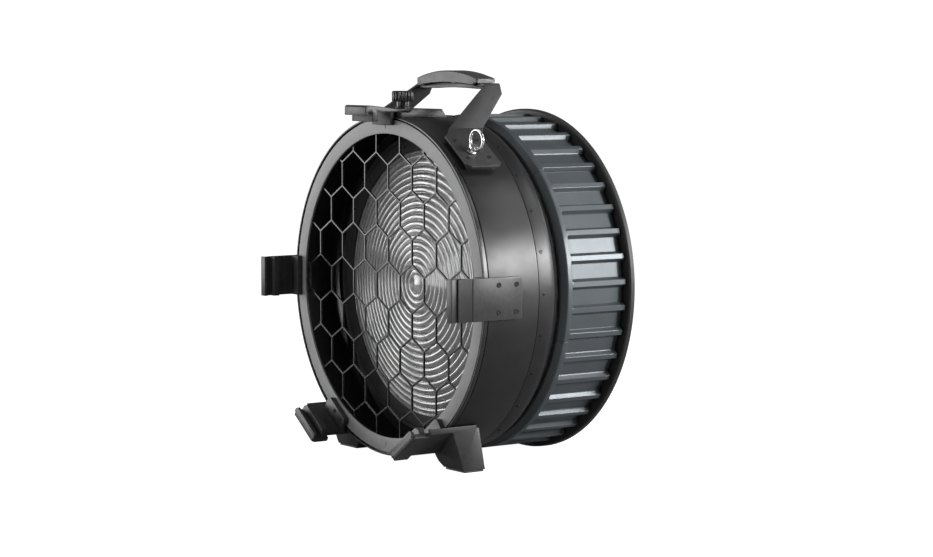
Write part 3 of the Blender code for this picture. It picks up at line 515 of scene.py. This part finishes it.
def make_looks():
    """One material for each slot of the record, and four for parts that look unlike their slot."""
    cross = (40.0, 1.0, 40.0)
    return {
        "black_paint": painted("satin_black_powder_coat", (0.011, 0.011, 0.012), 0.34, 0.45, 0.02),
        "flange": painted("rough_black_on_flange", (0.022, 0.022, 0.022), 0.48, 0.5, 0.03,
                          specular=0.45),
        "guard": painted("black_on_guard", (0.016, 0.016, 0.016), 0.26, 0.6, 0.01),
        "bezel_grey": painted("matt_grey_paint", (0.225, 0.225, 0.23), 0.46, 0.5, 0.02, wear=1.5),
        "cast_black": painted("textured_black_on_castings", (0.030, 0.030, 0.031), 0.42, 0.6, 0.045),
        "inner_black": painted("matt_black_anodised", (0.024, 0.024, 0.024), 0.7, 0.4, 0.02, wear=2.2,
                               specular=0.3),
        "grip_grey": turned_metal("blue_grey_anodised", (0.078, 0.090, 0.098), 0.34, cross, 0.012, 0.35),
        "steel": turned_metal("turned_steel", (0.52, 0.52, 0.52), 0.32, cross, 0.006),
        "chrome": turned_metal("polished_plating", (0.80, 0.80, 0.80), 0.09, (1.0, 1.0, 1.0), 0.004),
        "rubber": rubbery("matt_black_rubber", (0.050, 0.050, 0.050), 0.55, 0.5, 0.04),
        "nylon": rubbery("plain_bearing_plastic", (0.52, 0.51, 0.47), 0.5, 0.6, 0.02),
        "handle": rubbery("smooth_black_grip", (0.040, 0.040, 0.040), 0.34, 0.5, 0.02),
        # a darker copy of the turned steel look, for the latch stud and washer
        "dark_steel": turned_metal("darker_turned_steel", (0.050, 0.050, 0.052), 0.35, cross, 0.015, 0.6),
        "glass": lens_glass("pressed_lens_glass"),
        "knob_black": painted("black_knob_plastic", (0.018, 0.018, 0.019), 0.2, 0.8, 0.01, wear=1.4),
    }


LOOKS = make_looks()


# --- front -------------------------------------------------------------------------------------------------

def make_bezel():
    """Flat grey ring with a small upright slot at the top and the bottom."""
    inner, outer = BEZEL_R
    outline = [(inner, 0.0, 0.5), (outer, 0.0, 0.5), (outer, BEZEL_THICK), (inner, BEZEL_THICK)]
    bezel = lathe("bezel_ring", outline, "bezel_grey", ["front_bezel"])
    wide, high = BEZEL_SLOT_HALF
    bm = bmesh.new()
    for height in (BEZEL_SLOT_R, -BEZEL_SLOT_R):
        start, end = height - high, height + high
        add_prism(bm, rounded([(-wide, start), (wide, start), (wide, end), (-wide, end)], wide), -1.0, 1.2,
                  lambda u, v, y: at(u, y, v))
    cut_with(bezel, bm)


def cut_with(target, bm):
    """Cut the shapes in bm out of a piece and keep the result as its mesh."""
    bmesh.ops.recalc_face_normals(bm, faces=bm.faces)
    mesh = bpy.data.meshes.new("cutter")
    bm.to_mesh(mesh)
    bm.free()
    cutter = bpy.data.objects.new("cutter", mesh)
    bpy.context.scene.collection.objects.link(cutter)
    step = target.modifiers.new("cut", "BOOLEAN")
    step.operation = "DIFFERENCE"
    step.solver = "EXACT"
    step.object = cutter
    bpy.context.view_layer.update()
    graph = bpy.context.evaluated_depsgraph_get()
    result = bpy.data.meshes.new_from_object(target.evaluated_get(graph))
    target.modifiers.clear()
    target.data = result
    bpy.data.objects.remove(cutter, do_unlink=True)


def opening_sides(column, row):
    """Centre and the six side normals of one upright guard cell."""
    centre = Vector(((column + 0.5 * (row % 2)) * HEX_SIDE * math.sqrt(3.0), row * HEX_SIDE * 1.5))
    normals = [Vector(polar(1.0, 60.0 * k)) for k in range(6)]
    return centre, normals, HEX_SIDE * math.sqrt(3.0) / 2.0 - GUARD_BAR / 2.0


def opening_reach(spot, direction, cell, grown):
    """How far a ray goes from a spot before it leaves a cell that is clipped to the guard's round field."""
    centre, normals, inradius = cell
    reach = 1000.0
    for normal in normals:
        slope = normal.dot(direction)
        if slope > 1e-6:
            reach = min(reach, (inradius + grown - (spot - centre).dot(normal)) / slope)
    along = spot.dot(direction)
    radius = GUARD_HOLE_R + grown
    return min(reach, -along + math.sqrt(max(0.0, along * along - spot.dot(spot) + radius * radius)))


def opening_spot(cell):
    """A point well inside a clipped cell, or None where almost nothing of the cell is left."""
    centre, normals, inradius = cell
    inside = []
    for i in range(-8, 9):
        for j in range(-8, 9):
            spot = centre + Vector((i, j)) * HEX_SIDE / 8.5
            if spot.length < GUARD_HOLE_R and all((spot - centre).dot(n) < inradius for n in normals):
                inside.append(spot)
    if len(inside) < 6:
        return None
    return sum(inside, Vector((0.0, 0.0))) / len(inside)


def make_guard():
    """Honeycomb guard: a thin plate whose openings have rounded edges."""
    bm = bmesh.new()
    front, rear = GUARD_Y
    disc = [polar(GUARD_R, 360.0 * k / FACETS) for k in range(FACETS)]
    add_prism(bm, disc, front, rear, lambda u, v, y: at(u, y, v))
    guard = piece("honeycomb_guard", bm, "housing", "black_paint", ["wire_guard"], look=LOOKS["guard"])
    fillet = GUARD_FILLET
    half_way = fillet * 0.29
    levels = [(front - 1.0, fillet), (front, fillet), (front + half_way, half_way), (front + fillet, 0.0),
              (rear - fillet, 0.0), (rear - half_way, half_way), (rear, fillet), (rear + 1.0, fillet)]
    bm = bmesh.new()
    for row in range(-5, 6):
        for column in range(-5, 6):
            cell = opening_sides(column, row)
            spot = opening_spot(cell)
            if spot is None:
                continue
            corner_r = cell[2] * 2.0 / math.sqrt(3.0)
            corners = [cell[0] + Vector(polar(corner_r, 30.0 + 60.0 * k)) for k in range(6)]
            turns = {round(math.atan2(*(c - spot).yx), 4) for c in corners if c.length < GUARD_HOLE_R}
            if len(turns) < 6:
                turns |= {round(math.radians(5.0 * k) - math.pi, 4) for k in range(72)}
                turns |= {round(math.atan2(*(p - spot).yx), 4) for p in circle_crossings(cell)}
            loops = []
            for y, grown in levels:
                loop = []
                for turn in sorted(turns):
                    way = Vector((math.cos(turn), math.sin(turn)))
                    edge = spot + way * opening_reach(spot, way, cell, grown)
                    loop.append(bm.verts.new(at(edge.x, y, edge.y)))
                loops.append(loop)
            join_loops(bm, loops, False)
            bm.faces.new(loops[0])
            bm.faces.new(loops[-1])
    cut_with(guard, bm)


def circle_crossings(cell):
    """Where the sides of a cell cross the edge of the round field."""
    centre, normals, inradius = cell
    result = []
    for normal in normals:
        middle = centre + normal * inradius
        along = Vector((-normal.y, normal.x))
        half = middle.dot(along)
        root = half * half - middle.dot(middle) + GUARD_HOLE_R ** 2
        if root > 0.0:
            for sign in (-1.0, 1.0):
                shift = -half + sign * math.sqrt(root)
                if abs(shift) < inradius / math.sqrt(3.0):
                    result.append(middle + along * shift)
    return result


def make_drum():
    """Rim, front shell, joint band and rear shell."""
    shelf = BEZEL_THICK + GAP
    shell = RIM_REAR_Y + 0.65
    lathe("rim_ring", [(RIM_R - RIM_WALL, RIM_LIP_Y, 0.4), (RIM_R, RIM_LIP_Y, 0.6), (RIM_R, RIM_REAR_Y, 1.2),
                       (SHELF_R, RIM_REAR_Y), (SHELF_R, shelf), (RIM_R - RIM_WALL, shelf, 0.2)],
          "black_paint", ["front_rim_ring"], look=LOOKS["guard"])
    lathe("front_shell", [(RIM_R, shell, 1.2), (RIM_R, SEAM_Y - GAP, 0.7), (DRUM_INNER_R, SEAM_Y - GAP),
                          (DRUM_INNER_R, shell + 2.0), (SHELF_R + 5.0, shell + 2.0), (SHELF_R + 5.0, shell)],
          "black_paint", ["front_housing"])
    outer, thin = DRUM_INNER_R - GAP, DRUM_INNER_R - BAND_THICK
    lathe("seam_band", [(thin, SEAM_Y - BAND_HALF), (outer, SEAM_Y - BAND_HALF), (outer, SEAM_Y + BAND_HALF),
                        (thin, SEAM_Y + BAND_HALF)], "inner_black", ["joint_band"])
    inner = GUIDE_R + GAP
    lathe("rear_shell", [(REAR_R, SEAM_Y + GAP, 0.7), (REAR_R, SHOULDER_START_Y, 4.0)] + SHOULDER_OUTSIDE
          + [(inner, SHOULDER_Y), (inner, SHOULDER_Y - SHOULDER_THICK)] + SHOULDER_INSIDE
          + [(DRUM_INNER_R, SHOULDER_START_Y, 2.0), (DRUM_INNER_R, SEAM_Y + GAP)],
          "black_paint", ["rear_housing"])


# --- lens --------------------------------------------------------------------------------------------------

def lens_profile():
    """Front face in stepped zones, from the axis to the rim, then the edge and the smooth back."""
    def dome(radius):
        return LENS_CENTRE_Y + LENS_DOME * (radius / LENS_RIM_R) ** 2

    eye_rise = 1.9
    front = [(LENS_EYE_R * k / 6.0, dome(LENS_EYE_R * k / 6.0) + eye_rise * (k / 6.0) ** 2) for k in range(7)]
    width = (LENS_RIM_R - LENS_EYE_R) / LENS_ZONES
    steps = 10
    for zone in range(LENS_ZONES):
        inner = LENS_EYE_R + width * zone
        for k in range(steps + 1):
            share = LENS_WALL_SHARE + (1.0 - LENS_WALL_SHARE) * k / steps
            radius = inner + width * share
            curve = (share - LENS_CREST_SHARE) / (1.0 - LENS_CREST_SHARE)
            front.append((radius, dome(radius) + LENS_LIFT + LENS_STEP * curve ** 2))
    front[-1] = (LENS_RIM_R, LENS_EDGE_Y)
    edge = [(LENS_R, LENS_EDGE_Y), (LENS_R, LENS_EDGE_Y + LENS_THICK)]
    back = [(LENS_RIM_R * k / 16.0, dome(LENS_RIM_R * k / 16.0) + LENS_THICK) for k in range(16, -1, -1)]
    return front + edge + back


def make_lens():
    """Stepped lens, its seal, carrier and retaining ring with its screws, all on the lens carriage."""
    bm = bmesh.new()
    add_lathe(bm, lens_profile(), pole=True)
    piece("stepped_lens", bm, "lens_carriage", "glass", ["fresnel_lens"], 40.0)
    rear = LENS_EDGE_Y + LENS_THICK
    shelf = rear + GAP
    seal_r = LENS_R + SEAL_WALL
    lathe("lens_gasket", [(LENS_R + GAP, LENS_EDGE_Y), (seal_r, LENS_EDGE_Y), (seal_r, rear),
                          (LENS_R + GAP, rear)], "rubber", ["lens_seal"], "lens_carriage")
    clamp_y, clamp_rear, clamp_bore = LENS_EDGE_Y - CLAMP_THICK, LENS_EDGE_Y - GAP, LENS_RIM_R + 0.5
    lathe("lens_clamp_ring", [(clamp_bore, clamp_y, 0.8), (CLAMP_R, clamp_y, 0.8), (CLAMP_R, clamp_rear),
                              (clamp_bore, clamp_rear)],
          "inner_black", ["lens_retaining_ring"], "lens_carriage")
    bm = bmesh.new()
    seat, pocket, tube = seal_r + GAP, CLAMP_R + 0.4, CARRIER_R - CARRIER_WALL
    lip_y, back_y = LENS_EDGE_Y - 3.0, shelf + CARRIER_WALL
    add_lathe(bm, rounded([(CARRIER_BORE_R, shelf), (seat, shelf), (seat, LENS_EDGE_Y), (pocket, LENS_EDGE_Y),
                           (pocket, lip_y), (CARRIER_R, lip_y, 0.8), (CARRIER_R, CARRIER_REAR_Y),
                           (tube, CARRIER_REAR_Y), (tube, back_y), (CARRIER_BORE_R, back_y)]))
    start, end = ARM_Y
    arm = rounded([(-ARM_HALF, start), (ARM_HALF, start), (ARM_HALF, end, 5.0), (-ARM_HALF, end, 5.0)])
    for degrees in ARM_ANGLES:
        add_prism(bm, arm, CARRIER_R - 4.5, CARRIER_R - 1.2, tangent_place(degrees))
    piece("lens_cell", bm, "lens_carriage", "inner_black", ["lens_carrier"])
    bm = bmesh.new()
    for k in range(CLAMP_SCREWS):
        x, z = polar(CLAMP_SCREW_R, 15.0 + 360.0 / CLAMP_SCREWS * k)
        add_screw(bm, at(x, clamp_y, z), Vector((0.0, -1.0, 0.0)), *CLAMP_HEAD)
    piece("clamp_ring_screws", bm, "lens_carriage", "inner_black")


# --- screws ------------------------------------------------------------------------------------------------

def add_screw(bm, centre, normal, radius, height):
    """A low cap screw with a hexagon socket, standing on a surface. Radius and height in millimetres."""
    turn = Vector(normal).normalized().to_track_quat("Z", "Y").to_matrix()
    sides = 24
    socket = radius * 0.5

    def hexagon(k):
        return socket / math.cos(math.radians((k * 360.0 / sides + 30.0) % 60.0 - 30.0))

    rows = [(lambda k: radius, -0.3), (lambda k: radius, height * 0.72),
            (lambda k: radius * 0.95, height * 0.9), (lambda k: radius * 0.84, height),
            (lambda k: hexagon(k) + radius * 0.06, height), (hexagon, height * 0.9), (hexagon, height * 0.25)]
    loops = []
    for reach, rise in rows:
        spots = [Vector((*polar(reach(k), 360.0 * k / sides), rise)) for k in range(sides)]
        loops.append([bm.verts.new(centre + turn @ (spot * MM)) for spot in spots])
    join_loops(bm, loops, False)
    bm.faces.new(loops[0])
    bm.faces.new(loops[-1])


def make_screws():
    """Screws of the claws, the handle plates, the shells, the rear cover and the mount."""
    for side, degrees in (("right", 0.0), ("left", 180.0)):
        place = tangent_place(degrees)
        out = place(0.0, 0.0, 1.0) - place(0.0, 0.0, 0.0)
        bm = bmesh.new()
        side_step, ys = CLAW_SCREWS
        for y in ys:
            for along in (-side_step, side_step):
                add_screw(bm, place(along, y, CLAW_OUTER), out, *CLAW_HEAD)
        for along, y in INNER_SCREWS:
            add_screw(bm, place(along, y, DRUM_INNER_R), -out, *INNER_HEAD)
        piece(f"claw_screws_{side}", bm, "housing", "inner_black")
    for side, sign in (("right", 1.0), ("left", -1.0)):
        bm = bmesh.new()
        place = tangent_place(90.0 - sign * (90.0 - HANDLE_ANGLE))
        out = place(0.0, 0.0, 1.0) - place(0.0, 0.0, 0.0)
        for along in BRACKET_SCREWS[0]:
            for y in BRACKET_SCREWS[1]:
                add_screw(bm, place(sign * along, y, HANDLE_FACE_R), out, *BRACKET_HEAD)
        piece(f"bracket_screws_{side}", bm, "housing", "inner_black")
        bm = bmesh.new()
        place = tangent_place(-90.0 + sign * LOWER_CLAW_ANGLE)
        for along in LOWER_CLAW_SCREWS:
            spot = place(sign * along, LOWER_CLAW_SCREW_Y, LOWER_CLAW_SCREW_R)
            add_screw(bm, spot, Vector((0.0, -1.0, 0.0)), *LOWER_CLAW_HEAD)
        piece(f"lower_claw_screws_{side}", bm, "housing", "cast_black")
    bm = bmesh.new()
    for k in range(SHELL_SCREWS):
        x, z = polar(1.0, 0.4 + 360.0 / SHELL_SCREWS * k)
        seat = REAR_R - 0.1
        add_screw(bm, at(x * seat, SHELL_SCREW_Y, z * seat), Vector((x, 0.0, z)), *SHELL_HEAD)
    piece("shell_screws", bm, "housing", "black_paint")
    bm = bmesh.new()
    for k in range(COVER_SCREWS):
        x, z = polar(COVER_SCREW_R, 15.0 + 360.0 / COVER_SCREWS * k)
        add_screw(bm, at(x, COVER_RIM[1], z), Vector((0.0, 1.0, 0.0)), *COVER_HEAD)
    for k in range(MOUNT_SCREWS):
        x, z = polar(MOUNT_SCREW_R, 360.0 / MOUNT_SCREWS * k)
        add_screw(bm, at(x, MOUNT_SCREW_Y, z), Vector((0.0, 1.0, 0.0)), *MOUNT_HEAD)
    piece("rear_screws", bm, "housing", "steel")


# --- grip ring ---------------------------------------------------------------------------------------------

def grip_lines():
    """Radius along y of the groove floor and of the rib tops, on shared stations."""
    start, end = GRIP_Y
    front = [(start, GRIP_FRONT_R), (start + 5.7, GRIP_TOP_R, 1.6)]
    dip_y, rise_y = BAND_END_Y + GROOVE_RAMP, GROOVE_END_Y + GROOVE_RAMP
    floor = rounded(front + [(BAND_END_Y, GRIP_TOP_R, 0.8), (dip_y, GRIP_GROOVE_R, 1.2),
                             (GROOVE_END_Y, GRIP_GROOVE_R, 0.9), (rise_y, GRIP_TAIL_R, 0.6),
                             (end, GRIP_TAIL_R)], closed=False)
    crest = rounded(front + [(end - 1.2, GRIP_TOP_R, 1.0), (end, GRIP_TOP_R - 1.2)], closed=False)
    stations = sorted({round(y, 3) for y, r in floor + crest})
    low = np.interp(stations, [y for y, r in floor], [r for y, r in floor])
    high = np.interp(stations, [y for y, r in crest], [r for y, r in crest])
    return stations, low, high


def rib_stations():
    """(degrees, share of the rib height) across one segment."""
    half = [(1.86, 0.035), (1.66, 0.12), (1.52, 0.25), (0.98, 0.86), (0.90, 0.95), (0.78, 1.0)]
    stations = [(JOINT_HALF, 0.0), (JOINT_HALF + 0.1, 0.0)]
    for rib in range(RIBS):
        centre = RIB_START + RIB_PITCH * rib
        stations += [(centre - offset, share) for offset, share in half]
        stations += [(centre + offset, share) for offset, share in reversed(half)]
    end = 360.0 / SEGMENTS - JOINT_HALF
    return [s for s in stations if s[0] < end - 0.1] + [(end - 0.1, 0.0), (end, 0.0)]


def make_grip_ring():
    """Six grip segments of seven ribs, each riding on the focus ring."""
    ys, low, high = grip_lines()
    stations = sorted(rib_stations())
    for number in range(1, SEGMENTS + 1):
        bm = bmesh.new()
        loops = []
        start = SEGMENT_START + 360.0 / SEGMENTS * (number - 1)
        for index, (degrees, share) in enumerate(stations):
            cos, sin = polar(1.0, start + degrees)
            sunk = JOINT_SINK if index in (0, len(stations) - 1) else 0.0
            section = [(l + (h - l) * share - sunk, y) for l, h, y in zip(low, high, ys)]
            section += [(GRIP_INNER_R, GRIP_Y[1]), (GRIP_INNER_R, GRIP_Y[0])]
            loops.append([bm.verts.new(at(r * cos, y, r * sin)) for r, y in section])
        join_loops(bm, loops, False)
        bm.faces.new(loops[0])
        bm.faces.new(loops[-1])
        piece(f"ribbed_grip_{number}", bm, "focus_ring", "grip_grey", [f"grip_segment_{number}"], 26.0)


# --- rear --------------------------------------------------------------------------------------------------

def make_rear():
    """Rear flange, dished cover and the bayonet ring with its lugs."""
    front, rear = FLANGE_Y
    hub_front, hub_rear = HUB_Y
    hub_inner, slope, ledge = HUB_R - 3.6, FLANGE_R - FLANGE_BEVEL, front + 3.0
    lathe("flange_ring", [(HUB_BORE_R, hub_front), (HUB_R, hub_front), (HUB_R, front), (slope, front, 0.8),
                          (FLANGE_R, front + FLANGE_BEVEL, 0.8), (FLANGE_R, rear - FLANGE_BEVEL, 0.8),
                          (slope, rear, 0.8), (FLANGE_LIP_R, rear, 0.8), (FLANGE_LIP_R, ledge),
                          (hub_inner, ledge), (hub_inner, hub_rear), (HUB_BORE_R, hub_rear)],
          "black_paint", ["rear_flange"], look=LOOKS["flange"])
    cover_r = HUB_R - COVER_GAP
    rim_r, rim_y = COVER_RIM
    dish_r, dish_y = COVER_DISH
    under = dish_y - COVER_THICK
    cover = lathe("cover_dish", [(cover_r, COVER_SEAT_Y), (cover_r, rim_y, 0.6), (rim_r, rim_y, 4.0),
                                 (dish_r, dish_y, 3.0), (COVER_BORE_R, dish_y), (COVER_BORE_R, under),
                                 (dish_r - 0.4, under), (rim_r - 2.0, COVER_SEAT_Y)],
                  "black_paint", ["rear_cover"])
    bm = bmesh.new()
    for k in range(LOUVRE_SETS):
        place = tangent_place(360.0 / LOUVRE_SETS * k)
        for out in LOUVRE_RADII:
            half = LOUVRE_REACH[0] + out * LOUVRE_REACH[1]
            low, high = out - LOUVRE_HALF, out + LOUVRE_HALF
            add_prism(bm, rounded([(-half, low), (half, low), (half, high), (-half, high)], 1.9),
                      LOUVRE_FLOOR_Y - (out - dish_r) * DISH_SLOPE, dish_y + 6.0,
                      lambda u, v, y, place=place: place(u, y, v))
    cut_with(cover, bm)
    bm = bmesh.new()
    foot_r, neck_r, step_y = MOUNT_R + 8.0, MOUNT_R - 10.0, MOUNT_FRONT_Y + MOUNT_STEP
    add_lathe(bm, rounded([(MOUNT_BORE_R, MOUNT_FRONT_Y), (foot_r, MOUNT_FRONT_Y), (foot_r, step_y, 0.6),
                           (neck_r, step_y), (neck_r, MOUNT_REAR_Y, 0.6), (MOUNT_BORE_R, MOUNT_REAR_Y, 0.6)]))
    piece("mount_ring", bm, "housing", "steel", ["bayonet_ring"])
    bm = bmesh.new()
    for degrees in LUG_ANGLES:
        place = tangent_place(degrees)
        add_prism(bm, LUG_OUTLINE, MOUNT_REAR_Y - 4.0, MOUNT_REAR_Y - 0.4,
                  lambda u, v, y, place=place: place(u, y, v))
    soften(bm, 0.7)
    piece("mount_lugs", bm, "housing", "steel")


# --- castings ----------------------------------------------------------------------------------------------

def make_castings():
    """Claws, latch, handle frame, rubber pads and eye stud: the CAD bodies with rounded edges."""
    for node, width in (("claw_left", 0.9), ("claw_right", 0.9), ("lower_claw_left", 0.8),
                        ("lower_claw_right", 0.8), ("latch_base", 0.8), ("top_claw", 0.8),
                        ("handle_bracket_left", 0.6), ("handle_bracket_right", 0.6), ("handle_bar", 0.5)):
        softened_node(node, width, "cast_black")
    for node in ("handle_spacer_left", "handle_spacer_right", "foot_pad_left", "foot_pad_right"):
        softened_node(node, 0.7, "rubber")
    softened_node("safety_eye_stud", 0.35, "chrome")


# --- knob, handle grip and safety ring ---------------------------------------------------------------------

def make_knob():
    """Fluted clamping knob with a dished top and a collar."""
    low, high = KNOB_Z
    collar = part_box("latch_knob")[0].z / MM - AXIS_Z
    bore = KNOB_BORE_R
    rows = [(bore, collar, 0.0), (KNOB_COLLAR_R - 0.5, collar, 0.0), (KNOB_COLLAR_R, collar + 0.5, 0.0),
            (KNOB_COLLAR_R, low, 0.0),
            (KNOB_R - 1.6, low, 0.2), (KNOB_R - 0.5, low + 0.5, 0.7), (KNOB_R, low + 1.6, 1.0),
            (KNOB_R, high - 2.2, 1.0), (KNOB_R - 0.5, high - 0.9, 0.7), (KNOB_R - 1.7, high - 0.15, 0.2),
            (KNOB_R - 2.8, high, 0.0), (KNOB_R - 4.6, high, 0.0), (KNOB_R - 5.4, high - 0.7, 0.0),
            (3.0, high - 0.7, 0.0)]
    sides = KNOB_FLUTES * 12
    bm = bmesh.new()

    def corner(radius, k, z):
        x, y = polar(radius, 360.0 * k / sides)
        return bm.verts.new(at(x, STUD_Y + y, z))

    loops = []
    for radius, z, share in rows:
        loop = []
        for k in range(sides):
            wave = 0.5 - 0.5 * math.cos(KNOB_FLUTES * math.tau * k / sides)
            loop.append(corner(radius - KNOB_FLUTE_DEPTH * share * wave ** 1.6, k, z))
        loops.append(loop)
    join_loops(bm, loops, False)
    bm.faces.new(loops[-1])
    inner = [corner(bore, k, high - 3.0) for k in range(sides)]
    join_loops(bm, [loops[0], inner], False)
    bm.faces.new(inner)
    piece("fluted_knob", bm, "clamp_knob", "knob_black", ["latch_knob"], 40.0)


def make_handle_grip():
    """Arched grip with an upright front face and a rounded back, hollowed over the ends of the bar."""
    low_box, high_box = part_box("handle_grip")
    front_y, rear_y = low_box.y / MM - FRONT_Y, high_box.y / MM - FRONT_Y
    step, round_start = GRIP_TAB_END - 0.5, 68.0
    ends = [step + 0.15, 65.0, round_start, 69.3, GRIP_HALF]
    stations = [-x for x in reversed(ends)] + list(np.linspace(0.2 - step, step - 0.2, 61)) + ends
    bm = bmesh.new()
    loops = []
    for x in stations:
        arch = 1.0 - (x / GRIP_HALF) ** 2
        low = GRIP_OVER_TAB_Z if abs(x) > step else GRIP_LOW_Z + GRIP_LOW_ARCH * arch
        top = GRIP_HIGH_Z + GRIP_HIGH_ARCH * arch
        inset = (max(0.0, abs(x) - round_start) / (GRIP_HALF - round_start)) ** 2
        section = rounded([(front_y + inset, low, 0.8), (front_y + inset, top - inset, 2.0),
                           (rear_y - inset, top - inset, 5.0), (rear_y - inset, low, 0.8)], steps=6)
        loops.append([bm.verts.new(at(x, y, z)) for y, z in section])
    join_loops(bm, loops, False)
    bm.faces.new(loops[0])
    bm.faces.new(loops[-1])
    piece("arched_grip", bm, "housing", "rubber", ["handle_grip"], 40.0, look=LOOKS["handle"])


def make_safety_ring():
    """Round wire ring through the eye bolt."""
    low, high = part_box("safety_ring")
    centre = (low + high) / 2.0
    x, z = polar(1.0, HANDLE_ANGLE)
    out, along = Vector((x, 0.0, z)), Vector((-z, 0.0, x))
    turns, sides = 96, 20
    bm = bmesh.new()
    loops = []
    for k in range(turns):
        turn = math.tau * k / turns
        radial = out * math.cos(turn) + along * math.sin(turn)
        loop = []
        for i in range(sides):
            roll = math.tau * i / sides
            offset = radial * (EYE_RING_R + EYE_WIRE_R * math.cos(roll))
            offset += Vector((0.0, 1.0, 0.0)) * EYE_WIRE_R * math.sin(roll)
            loop.append(bm.verts.new(centre + offset * MM))
        loops.append(loop)
    join_loops(bm, loops, True)
    piece("wire_ring", bm, "eye_ring", "chrome", ["safety_ring"], 60.0)


# --- CAD nodes that stay -----------------------------------------------------------------------------------

def dress_frame():
    """Give every CAD node that still shows the material of its slot."""
    for row in frame["record"]["subparts"]:
        node = frame["nodes"][row["node"]]
        node.data.materials.clear()
        look = "dark_steel" if row["node"] in ("latch_stud", "latch_washer") else row["material_slot"]
        node.data.materials.append(LOOKS[look])


# --- stage -------------------------------------------------------------------------------------------------

def make_floor():
    """Plain pale floor."""
    bm = bmesh.new()
    bmesh.ops.create_grid(bm, x_segments=1, y_segments=1, size=30.0)
    mesh = bpy.data.meshes.new("floor")
    bm.to_mesh(mesh)
    bm.free()
    floor = bpy.data.objects.new("floor", mesh)
    bpy.context.scene.collection.objects.link(floor)
    look = Look("pale_floor")
    look.set(Base_Color=(0.32, 0.32, 0.32, 1.0))
    look.link(look.spread(look.noise(60.0), 0.0, 1.0, 0.86, 0.94), "Roughness")
    seen = look.add("ShaderNodeLightPath").outputs["Is Camera Ray"]
    look.set(Emission_Color=(1.0, 1.0, 1.0, 1.0))
    look.link(look.spread(seen, 0.0, 1.0, 0.0, 1.0), "Emission Strength")
    mesh.materials.append(look.material)


def soft_light(name, direction, distance, size, strength):
    """A rectangular soft light that faces the middle of the drum."""
    light = bpy.data.lights.new(name, "AREA")
    light.shape = "RECTANGLE"
    light.size, light.size_y = size
    light.energy = strength
    thing = bpy.data.objects.new(name, light)
    thing.visible_camera = False
    bpy.context.scene.collection.objects.link(thing)
    middle = at(0.0, 60.0, 0.0)
    away = Vector(direction).normalized()
    facing = away.to_track_quat("Z", "Y").to_matrix().to_4x4()
    thing.matrix_world = Matrix.Translation(middle + away * distance) @ facing


def make_light():
    """White surroundings, dimmer as a light than as a backdrop, and soft lights."""
    world = bpy.data.worlds.new("studio")
    bpy.context.scene.world = world
    world.use_nodes = True
    tree = world.node_tree
    backdrop = tree.nodes["Background"]
    backdrop.inputs["Color"].default_value = (1.0, 1.0, 1.0, 1.0)
    path = tree.nodes.new("ShaderNodeLightPath")
    level = tree.nodes.new("ShaderNodeMapRange")
    level.inputs["To Min"].default_value = AMBIENT_LEVEL
    level.inputs["To Max"].default_value = BACKDROP_LEVEL
    tree.links.new(path.outputs["Is Camera Ray"], level.inputs[0])
    tree.links.new(level.outputs[0], backdrop.inputs["Strength"])
    for light in SOFT_LIGHTS:
        soft_light(*light)


def make_camera():
    """Camera at the fitted viewing angle."""
    right = Vector((math.cos(CAMERA_TURN), math.sin(CAMERA_TURN), 0.0))
    level = math.cos(CAMERA_RISE)
    back = Vector((math.sin(CAMERA_TURN) * level, -math.cos(CAMERA_TURN) * level, math.sin(CAMERA_RISE)))
    up = back.cross(right)
    rolled = right * math.cos(CAMERA_ROLL) + up * math.sin(CAMERA_ROLL)
    upward = up * math.cos(CAMERA_ROLL) - right * math.sin(CAMERA_ROLL)
    spot = (rolled * CAMERA_OFFSET[0] + upward * CAMERA_OFFSET[1] + back * CAMERA_OFFSET[2]) * CAMERA_UNIT
    spot += at(0.0, 0.0, 0.0)
    data = bpy.data.cameras.new("camera")
    data.lens = CAMERA_LENS
    data.clip_end = 100.0
    camera = bpy.data.objects.new("camera", data)
    bpy.context.scene.collection.objects.link(camera)
    camera.matrix_world = Matrix((
        (rolled.x, upward.x, back.x, spot.x), (rolled.y, upward.y, back.y, spot.y),
        (rolled.z, upward.z, back.z, spot.z), (0.0, 0.0, 0.0, 1.0)))
    bpy.context.scene.camera = camera


make_bezel()
make_guard()
make_drum()
make_lens()
make_screws()
make_grip_ring()
make_rear()
make_castings()
make_knob()
make_handle_grip()
make_safety_ring()
dress_frame()
make_floor()
make_light()
make_camera()
bpy.context.scene.view_settings.view_transform = "Standard"
